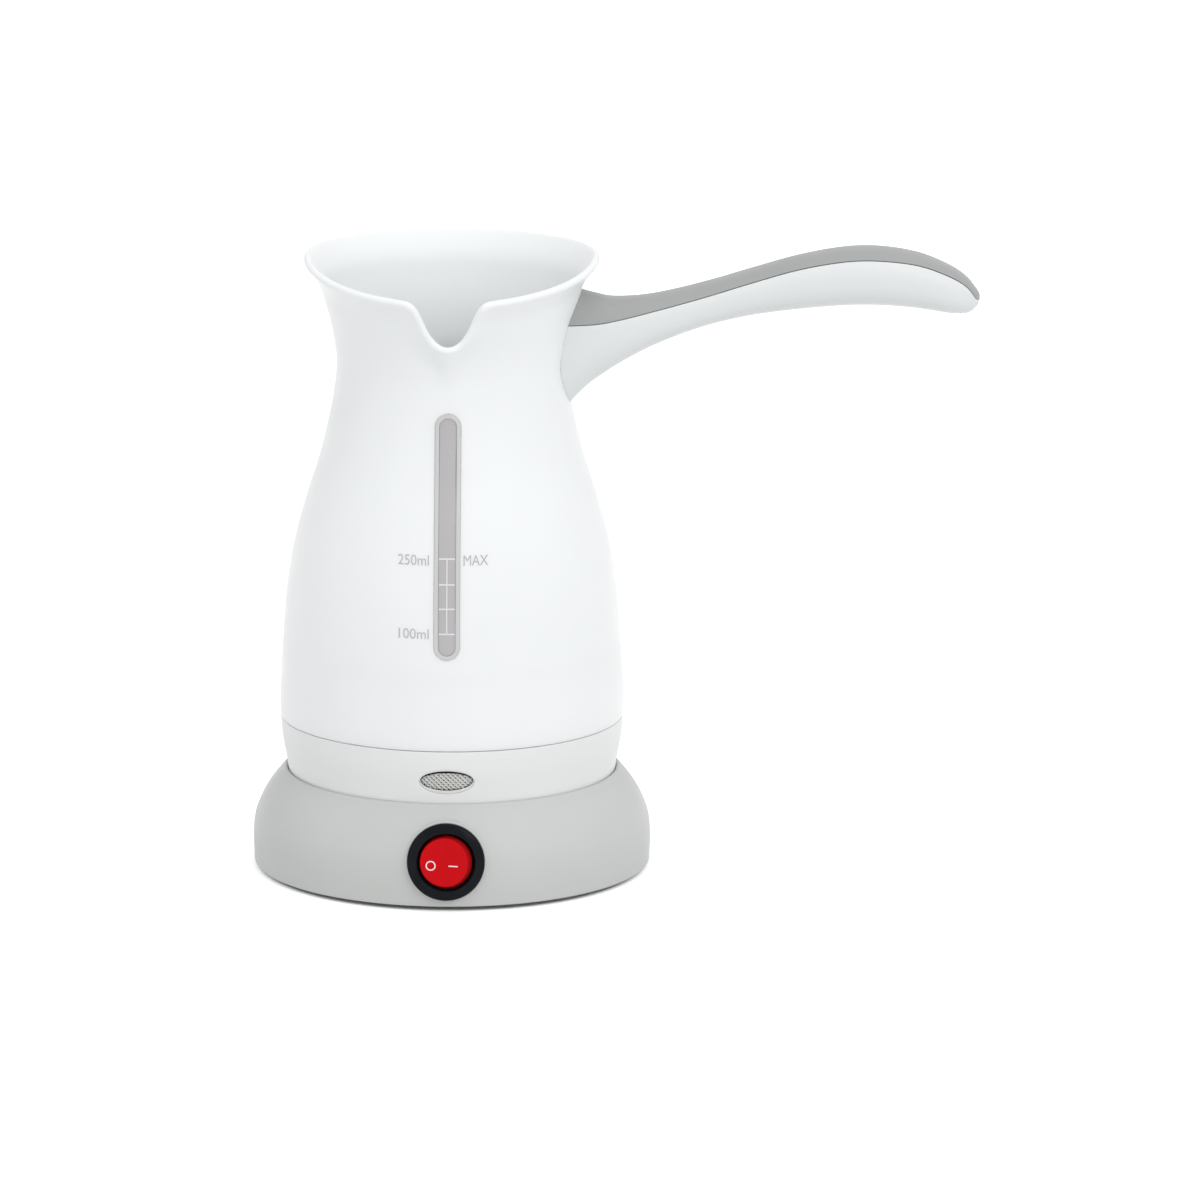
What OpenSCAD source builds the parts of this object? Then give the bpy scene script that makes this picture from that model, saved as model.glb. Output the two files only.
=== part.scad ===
// Electric Turkish coffee maker: a lift-off pot on a switched power base.
// The origin is on the pot's axis, on the surface that the base stands on. +Z is up,
// the pour spout and the switch face -Y, and the handle points along +X.

/* [Base] */
// Radius of the power base at its foot
base_r = 60; // [58.5:0.5:64]
// Height of the base's top lip
base_h = 30.4; // [29.6:0.2:31.4]
// Radius of the recess that the pot sits in
recess_r = 50; // [49.8:0.1:50.6]
// Height of the seat that carries the pot
seat_h = 28; // [27.4:0.1:28.4]
// Wall of the base shell
base_wall = 2.2; // [1.8:0.1:2.6]
// Thickness of the bottom cover
cover_t = 2; // [1.8:0.1:2.2]
// Height of the bottom cover above the standing surface
cover_z = 1.2; // [1:0.1:1.4]
// Distance of the rubber foot ring's inner edge in from the base's foot
foot_in_r = 21; // [19:0.5:23]
// Width of the rubber foot ring
foot_w = 5; // [4:0.5:6]
// Distance of the cover screws in from the base's foot
cover_screw_ring = 12.5; // [12:0.5:13]
// Distance of the cord clamp in from the base's foot
clamp_y = 16; // [15.5:0.5:16.5]

/* [Pot] */
// Height of the pot's rim at the back above the pot's seat
pot_h = 159.3; // [156:0.5:168]
// Radius of the belly
belly_r = 51.8; // [51:0.1:52.6]
// Height of the widest place above the seat
belly_z = 26; // [24:0.5:28]
// Radius of the neck
neck_r = 34.5; // [34:0.5:36]
// Height of the narrowest place of the neck above the seat
neck_z = 124; // [122:0.5:126]
// Outermost radius of the flared lip
lip_r = 44.8; // [43:0.1:47]
// Wall of the pot and of its lower housing
pot_wall = 2.2; // [2:0.1:2.4]
// Height of the seam between the pot body and the lower housing above the seat
seam_z = 18.6; // [18:0.1:19.2]
// Radius of the lower housing where it stands in the base
skirt_r = 49.2; // [49:0.1:49.5]
// Underside of the shelf that clamps the heated floor above the seat
shelf_z = 38; // [37.5:0.1:39]
// Thickness of that shelf
shelf_t = 3.5; // [3:0.1:4]
// Radius of the opening in the shelf
shelf_r = 34.5; // [33.5:0.1:35]

/* [Spout] */
// How far the rim dips at the front
rim_dip = 7.4; // [5:0.1:9]
// Half width of the pour notch at its top
notch_w = 10.4; // [9:0.1:12]
// Depth of the pour notch below the dipped rim
notch_d = 15.8; // [13:0.1:17]
// How far the beak stands out of the pot's side at the rim
beak_out = 3.6; // [2:0.1:5]
// Length of the beak down the pot's side
beak_len = 40; // [34:0.5:46]

/* [Level window] */
// Width of the window
window_w = 8.2; // [7:0.1:9.5]
// Lower end of the window above the seat
window_lo = 45.9; // [44.5:0.1:50]
// Upper end of the window above the seat
window_hi = 116.8; // [110:0.1:118]
// How far the window stands proud of the pot
window_proud = 0.3; // [0.1:0.05:0.5]
// Width of the flange that holds the window inside
window_lip = 2; // [1.5:0.1:2.5]
// Thickness of the gasket behind the wall
gasket_t = 0.8; // [0.6:0.1:1]
// Thickness of the window's flange
window_t = 1.2; // [1:0.1:1.5]

/* [Handle] */
// Reach of the handle's tip from the axis
handle_reach = 157.2; // [150:0.2:170]
// Height of the handle's parting line above the seat, where it meets the pot
handle_z = 137; // [135:0.1:138]
// Half width of the handle at the grip
grip_w = 12.5; // [11:0.1:14]
// Half width of the handle at its narrow shank
shank_w = 10; // [9.5:0.1:11]
// Half width of the handle at the pot
root_w = 11.5; // [10:0.1:12.5]
// Wall of the handle's two halves
handle_wall = 2.2; // [2:0.1:2.4]

/* [Switch] */
// Radius of the switch's bezel
bezel_r = 11.5; // [11.2:0.1:12]
// Thickness of the bezel
bezel_t = 2.2; // [2:0.1:2.4]
// Length of the switch's barrel behind the bezel
barrel_len = 15; // [14.5:0.1:15.5]
// Radius of the switch's barrel
barrel_r = 9.8; // [9.6:0.1:10]
// Height of the switch's centre
switch_z = 15; // [14.9:0.05:15.4]
// Upward tilt of the switch in degrees
switch_tilt = 7; // [6:0.5:8]
// Radius of the rocker
rocker_r = 7.45; // [7.2:0.05:7.5]
// Tilt of the rocker to either side in degrees
rocker_throw = 11; // [9:0.5:12]

/* [Indicator lamp] */
// Width of the oval lens
lens_w = 16.3; // [14:0.1:18]
// Height of the oval lens
lens_h = 7.8; // [6.5:0.1:8.6]
// Height of the lens's centre above the seat
lens_z = 9.1; // [8.8:0.1:9.6]
// Radius of the indicator bulb
bulb_r = 2.5; // [2:0.1:2.8]
// Length of the indicator bulb
bulb_len = 12; // [11:0.5:13]

/* [Heater] */
// Radius of the heated floor plate
plate_r = 38.5; // [38:0.1:39]
// Thickness of the floor plate
plate_t = 0.8; // [0.6:0.1:1]
// Radius of the aluminium heat spreader
spreader_r = 31; // [29:0.5:32]
// Thickness of the heat spreader
spreader_t = 3; // [2.5:0.1:3.5]
// Radius of the heater ring's centre line
heater_ring_r = 23; // [21:0.5:24]
// Radius of the heater's tube
heater_r = 3.3; // [3:0.1:3.6]

/* [Connector] */
// Radius of the socket block that rises out of the base
socket_r = 16; // [15:0.1:16.5]
// Height of the socket block's top above the seat
socket_top = 6.5; // [6:0.1:6.8]
// Radius of the three connector pins
pin_r = 2; // [1.8:0.05:2.2]
// Distance of the connector pins from the axis
pin_ring = 7.5; // [7:0.1:8]

/* [Fasteners] */
// Radius of the screws' shanks
screw_r = 1.25; // [1.1:0.05:1.3]
// Radius of the screws' heads
head_r = 2.5; // [2.3:0.1:2.6]
// Height of the screws' heads
head_t = 1.6; // [1.4:0.1:1.7]

/* [Cord entry] */
// Radius of the bore that the mains cord passes through
cord_r = 3.3; // [3:0.1:3.6]
// Radius of the gland's barrel
gland_r = 4.8; // [4.6:0.1:5.2]
// Height of the gland's axis
gland_z = 12; // [11.5:0.1:12.5]

/* [Fits] */
// Radial clearance of running fits
run_gap = 0.06; // [0.04:0.01:0.09]
// Clearance between pieces that are fastened together
seat_gap = 0.05; // [0.03:0.01:0.1]
// Clearance around the connector block and the pot's foot
lift_gap = 0.8; // [0.6:0.1:1]

/* [Hidden] */
$fn = 96;
part_fn = 36;
white = "white";
pale_grey = [0.80, 0.81, 0.80];
window_grey = [0.72, 0.72, 0.72];
steel = [0.75, 0.76, 0.78];
brass = [0.85, 0.70, 0.35];

// ---- Curves -------------------------------------------------------------------------

// A point of a smooth curve between b and c, with a and d beside them
function on_curve(a, b, c, d, t) = 0.5 * (2 * b + (c - a) * t
    + (2 * a - 5 * b + 4 * c - d) * t * t + (3 * b - a - 3 * c + d) * t * t * t);

// A smooth curve through all points of a list, with n steps between neighbours
function smooth(p, n) = [
    for (i = [0:len(p) - 2], k = [0:n - 1])
        on_curve(p[max(i - 1, 0)], p[i], p[i + 1], p[min(i + 2, len(p) - 1)], k / n),
    p[len(p) - 1]
];

function unit(v) = v / norm(v);
function reversed(p) = [for (i = [len(p) - 1:-1:0]) p[i]];
function part_of(p, from, to) = [for (i = [from:to]) p[i]];
// The unit vector that points left of a curve at its point i
function left_of(p, i) = let (t = unit(p[min(i + 1, len(p) - 1)] - p[max(i - 1, 0)])) [-t[1], t[0]];
// The curve moved to its left by d
function inset(p, d) = [for (i = [0:len(p) - 1]) p[i] + d * left_of(p, i)];
// The same curve as pairs of height and radius
function by_height(p) = [for (q = p) [q[1], q[0]]];
// The band between a curve and its copy, from distance a to distance b on its left
function band(p, a, b) = concat(inset(p, a), reversed(inset(p, b)));

// ---- Outlines of the pot and the base -----------------------------------------------

// Heights of the pot's features in the whole part
rim_at = seat_h + pot_h;
belly_at = seat_h + belly_z;
neck_at = seat_h + neck_z;
seam_at = seat_h + seam_z;
shelf_at = seat_h + shelf_z;
window_from = seat_h + window_lo;
window_to = seat_h + window_hi;
parting_at = seat_h + handle_z;
lens_at = seat_h + lens_z;
socket_at = seat_h + socket_top;

steps = 3;
lip_end_r = lip_r - 0.36;
lip_end_z = rim_at - 1.92;
// Shares of the rise and of the swell along the side, from the belly to the neck
SIDE = [
    [0, 1], [0.2, 0.935], [0.34, 0.862], [0.47, 0.735], [0.6, 0.535], [0.74, 0.288], [0.88, 0.098], [1, 0]
];
// Shares of the rise and of the flare, from the neck to the lip
FLARE = [[0.2, 0.035], [0.42, 0.16], [0.66, 0.373], [0.79, 0.5], [0.9, 0.72], [1, 1]];
skirt_points = [
    [skirt_r, seat_h + seat_gap],
    [skirt_r + 0.25 * (belly_r - skirt_r), seat_h + 0.27 * (seam_at - seat_h)],
    [skirt_r + 0.76 * (belly_r - skirt_r), seat_h + 0.65 * (seam_at - seat_h)],
    [belly_r - 0.12, seam_at]
];
side_points = [for (s = SIDE) [neck_r + s[1] * (belly_r - neck_r), belly_at + s[0] * (neck_at - belly_at)]];
flare_points = [for (s = FLARE)
    [neck_r + s[1] * (lip_end_r - neck_r), neck_at + s[0] * (lip_end_z - neck_at)]];
pot_line = smooth(concat(skirt_points, side_points, flare_points), steps);
seam_index = steps * (len(skirt_points) - 1);
skirt_line = part_of(pot_line, 0, seam_index);
jug_line = part_of(pot_line, seam_index, len(pot_line) - 1);

function pot_radius(z) = lookup(z, by_height(pot_line));
function pot_inside(z) = lookup(z, by_height(inset(pot_line, pot_wall)));

// The rounded lip that joins the outer wall to the inner one
lip_out = left_of(jug_line, len(jug_line) - 1);
lip_up = [lip_out[1], -lip_out[0]];
lip_mid = jug_line[len(jug_line) - 1] + lip_out * pot_wall / 2;
lip_arc = [for (a = [20:20:160]) lip_mid + pot_wall / 2 * (lip_up * sin(a) - lip_out * cos(a))];
jug_outside = concat([[0, seam_at]], jug_line, lip_arc, [[0, rim_at + 1]]);

base_line = smooth([
    [base_r, 0.8],
    [base_r + 0.05, 0.3 * base_h],
    [base_r - 0.4, 0.48 * base_h],
    [base_r - 1.5, 0.6 * base_h],
    [base_r - 3.3, 0.725 * base_h],
    [base_r - 5.9, 0.855 * base_h],
    [recess_r + 1.2, base_h - 0.5],
    [recess_r + 0.5, base_h]
], steps);

deck_top = seat_h - 0.6;
deck_low = deck_top - base_wall;
seat_in_r = skirt_r - 5.2;
cover_r = base_r - base_wall - 0.35;
cover_top = cover_z + cover_t;
boss_low = cover_top + 1;
clamp_post = 4.5;
cord_clamp_t = 5.5;
clamp_low = cover_top + clamp_post + seat_gap;
hole_r = screw_r + 0.3;
pilot_r = screw_r + seat_gap;
boss_r = 3;
screw_ring = base_r - cover_screw_ring;
foot_r = base_r - foot_in_r;
clamp_at = base_r - clamp_y;

// ---- Places --------------------------------------------------------------------------

cover_screws = [45, 135, 225, 315];
key_angles = [for (k = [0:5]) 30 + 60 * k];
key_w = 2;
plate_z = shelf_at - 0.7 - plate_t;
spreader_z = plate_z - spreader_t;
heater_z = spreader_z - heater_r - seat_gap;
clamp_t = 2;
clamp_z = plate_z - clamp_t - seat_gap;
clamp_in_r = spreader_r + 1.5;
clamp_r = plate_r + 1;
ear_ring = 43;
clamp_screws = [45, 135, 225, 315];
pillar_ring = 43;
pillars = [90, 210, 330];
floor_lo = seat_h + 1;
floor_t = 2.2;
floor_top = floor_lo + floor_t;
pillar_low = floor_top + 2.2;
pillar_screw = 14;
inlet_r = socket_r + lift_gap;
inlet_wall = 3;
inlet_top = socket_at + 2.5;
inlet_slab = 4;
inlet_ring = inlet_r + inlet_wall + head_r + 0.4;
inlet_flange_r = inlet_ring + 3;
inlet_screws_at = [30, 150, 270];
pins = [90, 210, 330];
pin_low = seat_h + 0.8;
pin_high = inlet_top + inlet_slab + 5;
sleeve_t = 1;
sleeve_high = socket_at - 1;
socket_flange_r = socket_r + 6;
socket_flange_top = deck_low - 2.5;
socket_flange_t = 2.4;
socket_low = socket_flange_top - 4.1;
sleeve_low = socket_low + 3.4;
socket_ring = socket_r + 3.2;
socket_screws_at = [0, 180];

function pin_at(a) = pin_ring * [cos(a), sin(a)];
contact_tail = 5;
terminal_x = -4.4;
terminal_len = 22;
tab_low = spreader_z - seat_gap - 13;
fuse_r = 2;
fuse_y = -14.5;
fuse_z = spreader_z - fuse_r - seat_gap;
leg_low = heater_z - 10;
lead_z = spreader_z - 9.5;

// ---- Small shared shapes ----------------------------------------------------------------

module ring(z, h, r_in, r_out) {
    translate([0, 0, z]) difference() {
        cylinder(h = h, r = r_out);
        translate([0, 0, -1]) cylinder(h = h + 2, r = r_in);
    }
}

module rod(z, h, r) {
    translate([0, 0, z]) cylinder(h = h, r = r, $fn = part_fn);
}

// Copies children to a distance from the axis at each angle
module around(angles, distance) {
    for (a = angles)
        rotate([0, 0, a]) translate([distance, 0, 0]) children();
}

// A pan-head screw with its head at z, which points up when up is 1 and down when up is -1
module screw(z, length, up) {
    translate([0, 0, z]) mirror([0, 0, up < 0 ? 1 : 0]) difference() {
        union() {
            cylinder(h = length, r = screw_r, $fn = part_fn);
            translate([0, 0, -head_t]) cylinder(h = head_t, r = head_r, $fn = part_fn);
        }
        for (a = [0, 90])
            rotate([0, 0, a]) translate([-1.3, -0.25, -head_t - 1]) cube([2.6, 0.5, 1.8]);
    }
}

// A tube of eight sides swept along a smooth curve through a few points
function turned(t, n) = unit(n - (n * t) * t);
function path_tangent(p, i) = unit(p[min(i + 1, len(p) - 1)] - p[max(i - 1, 0)]);
function path_normals(p, first) = [
    for (i = 0, n = turned(path_tangent(p, 0), first); i < len(p);
         i = i + 1, n = turned(path_tangent(p, min(i, len(p) - 1)), n)) n
];

module swept(points, r, first) {
    sides = 8;
    n = path_normals(points, first);
    rings = [for (i = [0:len(points) - 1], k = [0:sides - 1])
        let (b = cross(path_tangent(points, i), n[i]))
            points[i] + r * (n[i] * cos(45 * k) + b * sin(45 * k))];
    walls = [for (i = [0:len(points) - 2], k = [0:sides - 1])
        [sides * i + k, sides * i + (k + 1) % sides,
         sides * (i + 1) + (k + 1) % sides, sides * (i + 1) + k]];
    first_cap = [for (k = [sides - 1:-1:0]) k];
    last_cap = [for (k = [0:sides - 1]) sides * (len(points) - 1) + k];
    polyhedron(rings, [for (f = concat(walls, [first_cap, last_cap])) reversed(f)], convexity = 6);
}

module lead(points, first = [1, 0, 0]) {
    swept(smooth(points, 3), 1.1, first);
}

// ---- Power base ---------------------------------------------------------------------------

// The frame of the switch: +Z points out of the base's front and +Y up its face
switch_y = -(base_r + 0.3 - bezel_r * sin(switch_tilt));
module at_switch() {
    translate([0, switch_y, switch_z]) rotate([90 - switch_tilt, 0, 0]) children();
}

pad_depth = 6;
pad_hole = 14;
module recess_wall() {
    intersection() {
        polygon(concat(base_line, [[recess_r, base_h], [recess_r, 0]]));
        translate([recess_r, deck_low]) square([base_wall, base_h - 1 - deck_low]);
    }
}

module shell_profile() {
    difference() {
        union() {
            polygon(band(base_line, 0, base_wall));
            recess_wall();
            translate([seat_in_r, deck_low]) square([recess_r + 1 - seat_in_r, seat_h - deck_low]);
            translate([socket_r + lift_gap / 2, deck_low])
                square([seat_in_r - socket_r, deck_top - deck_low]);
        }
        translate([0, seat_h]) square([recess_r, 6]);
    }
}

module base_shell() {
    color(pale_grey) difference() {
        union() {
            rotate_extrude() shell_profile();
            at_switch() translate([0, 0, -pad_depth]) cylinder(h = pad_depth, r = bezel_r + 0.7);
            around(cover_screws, screw_ring) rod(boss_low, deck_low + 1 - boss_low, boss_r + 0.5);
            around(socket_screws_at, socket_ring)
                rod(socket_flange_top, deck_low + 1 - socket_flange_top, boss_r);
            around([for (a = key_angles) a - 90], recess_r)
                translate([-2.7, -key_w / 2, seat_h - 0.5]) cube([2.9, key_w, 2.4]);
        }
        at_switch() translate([0, 0, 2 - pad_hole]) cylinder(h = pad_hole, r = barrel_r + 0.15);
        around(cover_screws, screw_ring) rod(boss_low - 1, 13, pilot_r);
        around(socket_screws_at, socket_ring) rod(socket_flange_top - 1, 5.2, pilot_r);
        translate([0, base_r + 2, gland_z]) rotate([90, 0, 0])
            cylinder(h = 8, r = gland_r + seat_gap, $fn = part_fn);
        translate([0, 0, -1]) cylinder(h = cover_top + 1.1, r = cover_r + 0.15);
    }
}

module base_bottom_cover() {
    color([0.70, 0.71, 0.70]) difference() {
        union() {
            translate([0, 0, cover_z]) cylinder(h = cover_t, r = cover_r);
            around(cover_screws, screw_ring) rod(cover_z + 0.5, boss_low - cover_z - 0.55, 5);
            for (x = [-8, 8])
                translate([x, clamp_at, 0]) rod(cover_top - 0.5, clamp_post + 0.5, 3.2);
        }
        ring(cover_z - 1, 2.1, foot_r - 0.1, foot_r + foot_w + 0.1);
        around(cover_screws, screw_ring) rod(cover_z - 1, 1 + head_t + 0.3, head_r + 0.3);
        around(cover_screws, screw_ring) rod(cover_z, 6, hole_r);
        for (x = [-8, 8])
            translate([x, clamp_at, 0]) rod(cover_top + 0.6, clamp_post + 1.5, pilot_r);
    }
}

module foot_ring() {
    color([0.2, 0.2, 0.2]) ring(0, cover_z + 1, foot_r, foot_r + foot_w);
}

module base_screws() {
    color(steel) around(cover_screws, screw_ring) screw(cover_z + head_t + 0.3, 10, 1);
}

module switch_housing() {
    well_r = rocker_r + 0.5;
    floor_z = 2 - barrel_len;
    color([0.08, 0.09, 0.10]) at_switch() difference() {
        union() {
            translate([0, 0, -barrel_len]) cylinder(h = barrel_len + 0.5, r = barrel_r);
            rotate_extrude() polygon([
                [0, seat_gap], [bezel_r, seat_gap], [bezel_r, 0.5 * bezel_t],
                [bezel_r - 0.5, 0.8 * bezel_t], [bezel_r - 1.4, bezel_t], [0, bezel_t]
            ]);
        }
        translate([0, 0, floor_z]) cylinder(h = 20, r = well_r);
        translate([0, 20, 0]) rotate([90, 0, 0]) cylinder(h = 40, r = 0.9 + run_gap, $fn = part_fn);
        translate([-0.5, -3.3, -20]) cube([1, 6.6, 9]);
        translate([terminal_x - 0.5, -3.3, -20]) cube([1, 6.6, 9]);
    }
}

module switch_rocker() {
    reach = rocker_r + 0.25;
    color([0.80, 0.05, 0.08]) at_switch() rotate([0, -rocker_throw, 0]) difference() {
        union() {
            intersection() {
                translate([0, 0, -4]) cylinder(h = 10, r = rocker_r);
                rotate([90, 0, 0]) translate([0, 0, -20]) cylinder(h = 40, r = reach);
                rotate([90, 0, 0]) translate([0, 0, -10]) linear_extrude(20)
                    polygon([[-8, 3.4], [0, 2], [8, 3.4], [8, -3], [-8, -3]]);
            }
            translate([0, 0, -6]) cylinder(h = 4, r = 2.4, $fn = part_fn);
            rotate([90, 0, 0]) translate([0, 0, -9.3]) cylinder(h = 18.6, r = 0.9, $fn = part_fn);
        }
        translate([0, 0, -7]) cylinder(h = 5.8, r = 1.4 + run_gap, $fn = part_fn);
    }
}

module switch_plunger() {
    color("white") at_switch() rotate([0, -rocker_throw, 0]) union() {
        translate([0, 0, -7.3]) cylinder(h = 2.8, r = 1.4, $fn = part_fn);
        translate([0, 0, -7.3]) sphere(r = 1.4, $fn = part_fn);
    }
}

module switch_spring() {
    turns = 3;
    wire = 0.2;
    coil_r = 1;
    color(steel) at_switch() rotate([0, -rocker_throw, 0]) swept([
        for (i = [0:12 * turns])
            [coil_r * cos(30 * i), coil_r * sin(30 * i), -4.2 + 2.7 * i / (12 * turns)]
    ], wire, [1, 0, 0]);
}

lever_z = -9.6;
lever_tilt = rocker_throw / 2;
module switch_contact_lever() {
    color(brass) at_switch() translate([0, 0, lever_z]) rotate([0, lever_tilt, 0]) union() {
        translate([-5.2, -1.9, 0.2]) cube([10.4, 3.8, 0.6]);
        rotate([90, 0, 0]) translate([0, 0, -3]) cylinder(h = 6, r = 0.6, $fn = part_fn);
        translate([terminal_x, 0, -0.6]) cylinder(h = 1, r = 1, $fn = part_fn);
    }
}

module switch_terminals() {
    color(brass) at_switch() {
        difference() {
            union() {
                for (side = [-1, 1])
                    translate([-1.6, side * 2.45 - 0.3, -13]) cube([3.2, 0.6, 4.4]);
                translate([-1.6, -2.75, -13 + seat_gap]) cube([3.2, 5.5, 0.6]);
                translate([-0.4, -3.15, -terminal_len]) cube([0.8, 6.3, terminal_len - 12.7]);
            }
            translate([0, 20, lever_z]) rotate([90, 0, 0])
                cylinder(h = 40, r = 0.6 + run_gap, $fn = part_fn);
        }
        translate([terminal_x - 0.4, -3.15, -terminal_len]) cube([0.8, 6.3, terminal_len - 11.3]);
        translate([terminal_x, 0, -11.4]) cylinder(h = 0.5, r = 1.2, $fn = part_fn);
    }
}

module socket_block() {
    color([0.15, 0.15, 0.16]) difference() {
        union() {
            translate([0, 0, socket_low]) cylinder(h = socket_at - socket_low, r = socket_r);
            translate([0, 0, socket_flange_top - socket_flange_t])
                cylinder(h = socket_flange_t, r = socket_flange_r);
        }
        around(pins, pin_ring) rod(socket_low - 1, sleeve_high - socket_low + 1, pin_r + sleeve_t + seat_gap);
        around(pins, pin_ring) rod(sleeve_high - 1, 4, pin_r + 0.4);
        around(socket_screws_at, socket_ring) rod(socket_low, 9, hole_r);
    }
}

module socket_contacts() {
    color(brass) around(pins, pin_ring) difference() {
        union() {
            rod(sleeve_low, sleeve_high - sleeve_low, pin_r + sleeve_t);
            translate([-0.4, -2, socket_low - contact_tail])
                cube([0.8, 4, sleeve_low - socket_low + contact_tail + 1.5]);
        }
        rod(sleeve_low + 1.5, 20, pin_r + run_gap);
    }
}

module socket_screws() {
    color(steel) around(socket_screws_at, socket_ring)
        screw(socket_flange_top - socket_flange_t - seat_gap, 6, 1);
}

module cord_gland() {
    color([0.2, 0.2, 0.2]) translate([0, base_r + 0.15, gland_z]) rotate([90, 0, 0]) difference() {
        union() {
            translate([0, 0, -1.6]) cylinder(h = 1.6, r = gland_r + 1.4, $fn = part_fn);
            cylinder(h = base_wall + 4, r = gland_r, $fn = part_fn);
            translate([0, 0, base_wall + 1.6]) cylinder(h = 1.6, r = gland_r + 0.8, $fn = part_fn);
        }
        translate([0, 0, -3]) cylinder(h = 12, r = cord_r, $fn = part_fn);
    }
}

module cord_clamp() {
    color([0.15, 0.15, 0.16]) difference() {
        translate([-11.5, clamp_at - 3, clamp_low]) cube([23, 6, cord_clamp_t]);
        translate([0, clamp_at + 6, clamp_low - seat_gap]) rotate([90, 0, 0])
            cylinder(h = 12, r = cord_r, $fn = part_fn);
        for (x = [-8, 8])
            translate([x, clamp_at, 0]) rod(cover_top + 4, cord_clamp_t + 2.5, hole_r);
    }
}

module cord_clamp_screws() {
    color(steel) for (x = [-8, 8])
        translate([x, clamp_at, 0]) screw(clamp_low + cord_clamp_t + seat_gap, 9, -1);
}

module switched_lead() {
    from = [terminal_x, switch_y + terminal_len * cos(switch_tilt),
        switch_z - terminal_len * sin(switch_tilt)];
    to = [pin_at(210)[0], pin_at(210)[1], socket_low - contact_tail];
    color([0.45, 0.25, 0.12]) lead([
        from + [0, 0.3, 0], from + [-1.5, 5.5, -0.7], [-13, -22, 10], [-14, -12, 9.2],
        to + [-2.6, -1.8, -4.2], to + [0, 0, -0.6]
    ]);
}

// ---- Pot -------------------------------------------------------------------------------------

// The space in front of the dipped rim, to be cut away
module rim_cut() {
    front = [for (k = [0:8]) let (y = -k * (lip_r + 4) / 8)
        [y, rim_at + 0.4 - rim_dip * pow(-y / (lip_r - 1.8), 1.2)]];
    translate([-lip_r - 5, 0, 0]) rotate([90, 0, 90]) linear_extrude(2 * lip_r + 10)
        polygon(concat([for (q = front) q], [[-lip_r - 4, rim_at + 20], [0, rim_at + 20]]));
}

// The pour notch seen from the front: a parabola that opens into the rim
notch_low = rim_at - rim_dip - notch_d + 0.2;
module notch_cut() {
    wide = notch_w + 3;
    arc = [for (k = [-8:8]) let (x = wide * k / 8) [x, notch_low + notch_d * pow(x / notch_w, 2)]];
    translate([0, -lip_r + 20, 0]) rotate([90, 0, 0]) linear_extrude(40)
        polygon(concat(arc, [[wide, rim_at + 20], [-wide, rim_at + 20]]));
}

// A leaning cone that makes the beak, thinner by the given wall. It starts inside the pot's
// side and comes out of it towards the rim
beak_low_r = 3;
beak_high_r = 17;
beak_top_z = rim_at - rim_dip;
beak_base_z = beak_top_z - beak_len;
module beak_cone(wall) {
    low_y = -pot_radius(beak_base_z) + 0.6 + beak_low_r;
    high_y = -pot_radius(beak_top_z) - beak_out + beak_high_r;
    more = 1.3;
    translate([0, low_y, beak_base_z]) rotate([atan2(low_y - high_y, beak_len), 0, 0])
        cylinder(h = beak_len * more, r1 = beak_low_r - wall,
            r2 = beak_low_r + more * (beak_high_r - beak_low_r) - wall);
}

module slot_prism(w, lo, hi) {
    rotate([90, 0, 0]) linear_extrude(70) union() {
        translate([-w / 2, lo + w / 2]) square([w, hi - lo - w]);
        for (z = [lo + w / 2, hi - w / 2])
            translate([0, z]) circle(r = w / 2);
    }
}

module jug_solid() {
    rotate_extrude() polygon(jug_outside);
}

module jug_hollow() {
    rotate_extrude() polygon(concat([[0, seam_at - 1], [pot_inside(seam_at), seam_at - 1]],
        inset(jug_line, pot_wall), [[0, rim_at + 9]]));
}

tongue_z = parting_at - 3.5;
tongue_t = 3.5;
handle_screws_x = [45.5, 52.5];

module pot_body() {
    color(white) difference() {
        union() {
            difference() {
                union() {
                    jug_solid();
                    intersection() {
                        beak_cone(0);
                        translate([-20, -lip_r - 10, beak_base_z - 2]) cube([40, 40, beak_len + 6]);
                    }
                }
                jug_hollow();
                beak_cone(pot_wall);
                rim_cut();
                notch_cut();
                slot_prism(window_w, window_from, window_to);
            }
            rotate_extrude() translate([shelf_r, shelf_at])
                square([pot_inside(shelf_at) + 0.8 - shelf_r, shelf_t]);
            around(clamp_screws, ear_ring)
                rod(clamp_z + clamp_t + seat_gap, shelf_at + 1 - clamp_z - clamp_t, boss_r);
            around(pillars, pillar_ring) rod(pillar_low, shelf_at + 1 - pillar_low, boss_r);
            translate([neck_r, -5, tongue_z]) cube([handle_screws_x[1] + 3.6 - neck_r, 10, tongue_t]);
        }
        around(clamp_screws, ear_ring) rod(clamp_z + clamp_t - 1, 5.4, pilot_r);
        around(pillars, pillar_ring) rod(pillar_low - 1, pillar_screw, pilot_r);
        for (x = handle_screws_x)
            translate([x, 0, 0]) rod(tongue_z - 1, 8, hole_r);
    }
}

module level_window() {
    color(window_grey) union() {
        intersection() {
            rotate_extrude() polygon(band(jug_line, -window_proud, pot_wall + gasket_t + 0.5));
            slot_prism(window_w - 0.2, window_from + 0.1, window_to - 0.1);
        }
        intersection() {
            rotate_extrude() polygon(band(jug_line, pot_wall + gasket_t + seat_gap,
                pot_wall + gasket_t + window_t));
            slot_prism(window_w + 2 * window_lip, window_from - window_lip, window_to + window_lip);
        }
    }
}

module window_gasket() {
    color([0.85, 0.85, 0.85]) difference() {
        intersection() {
            rotate_extrude() polygon(band(jug_line, pot_wall + seat_gap, pot_wall + gasket_t));
            slot_prism(window_w + 2 * window_lip, window_from - window_lip, window_to + window_lip);
        }
        slot_prism(window_w + 0.1, window_from - 0.05, window_to + 0.05);
    }
}

module oval(w, h) {
    polygon([for (a = [0:10:350]) [w / 2 * cos(a), h / 2 * sin(a)]]);
}

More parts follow.
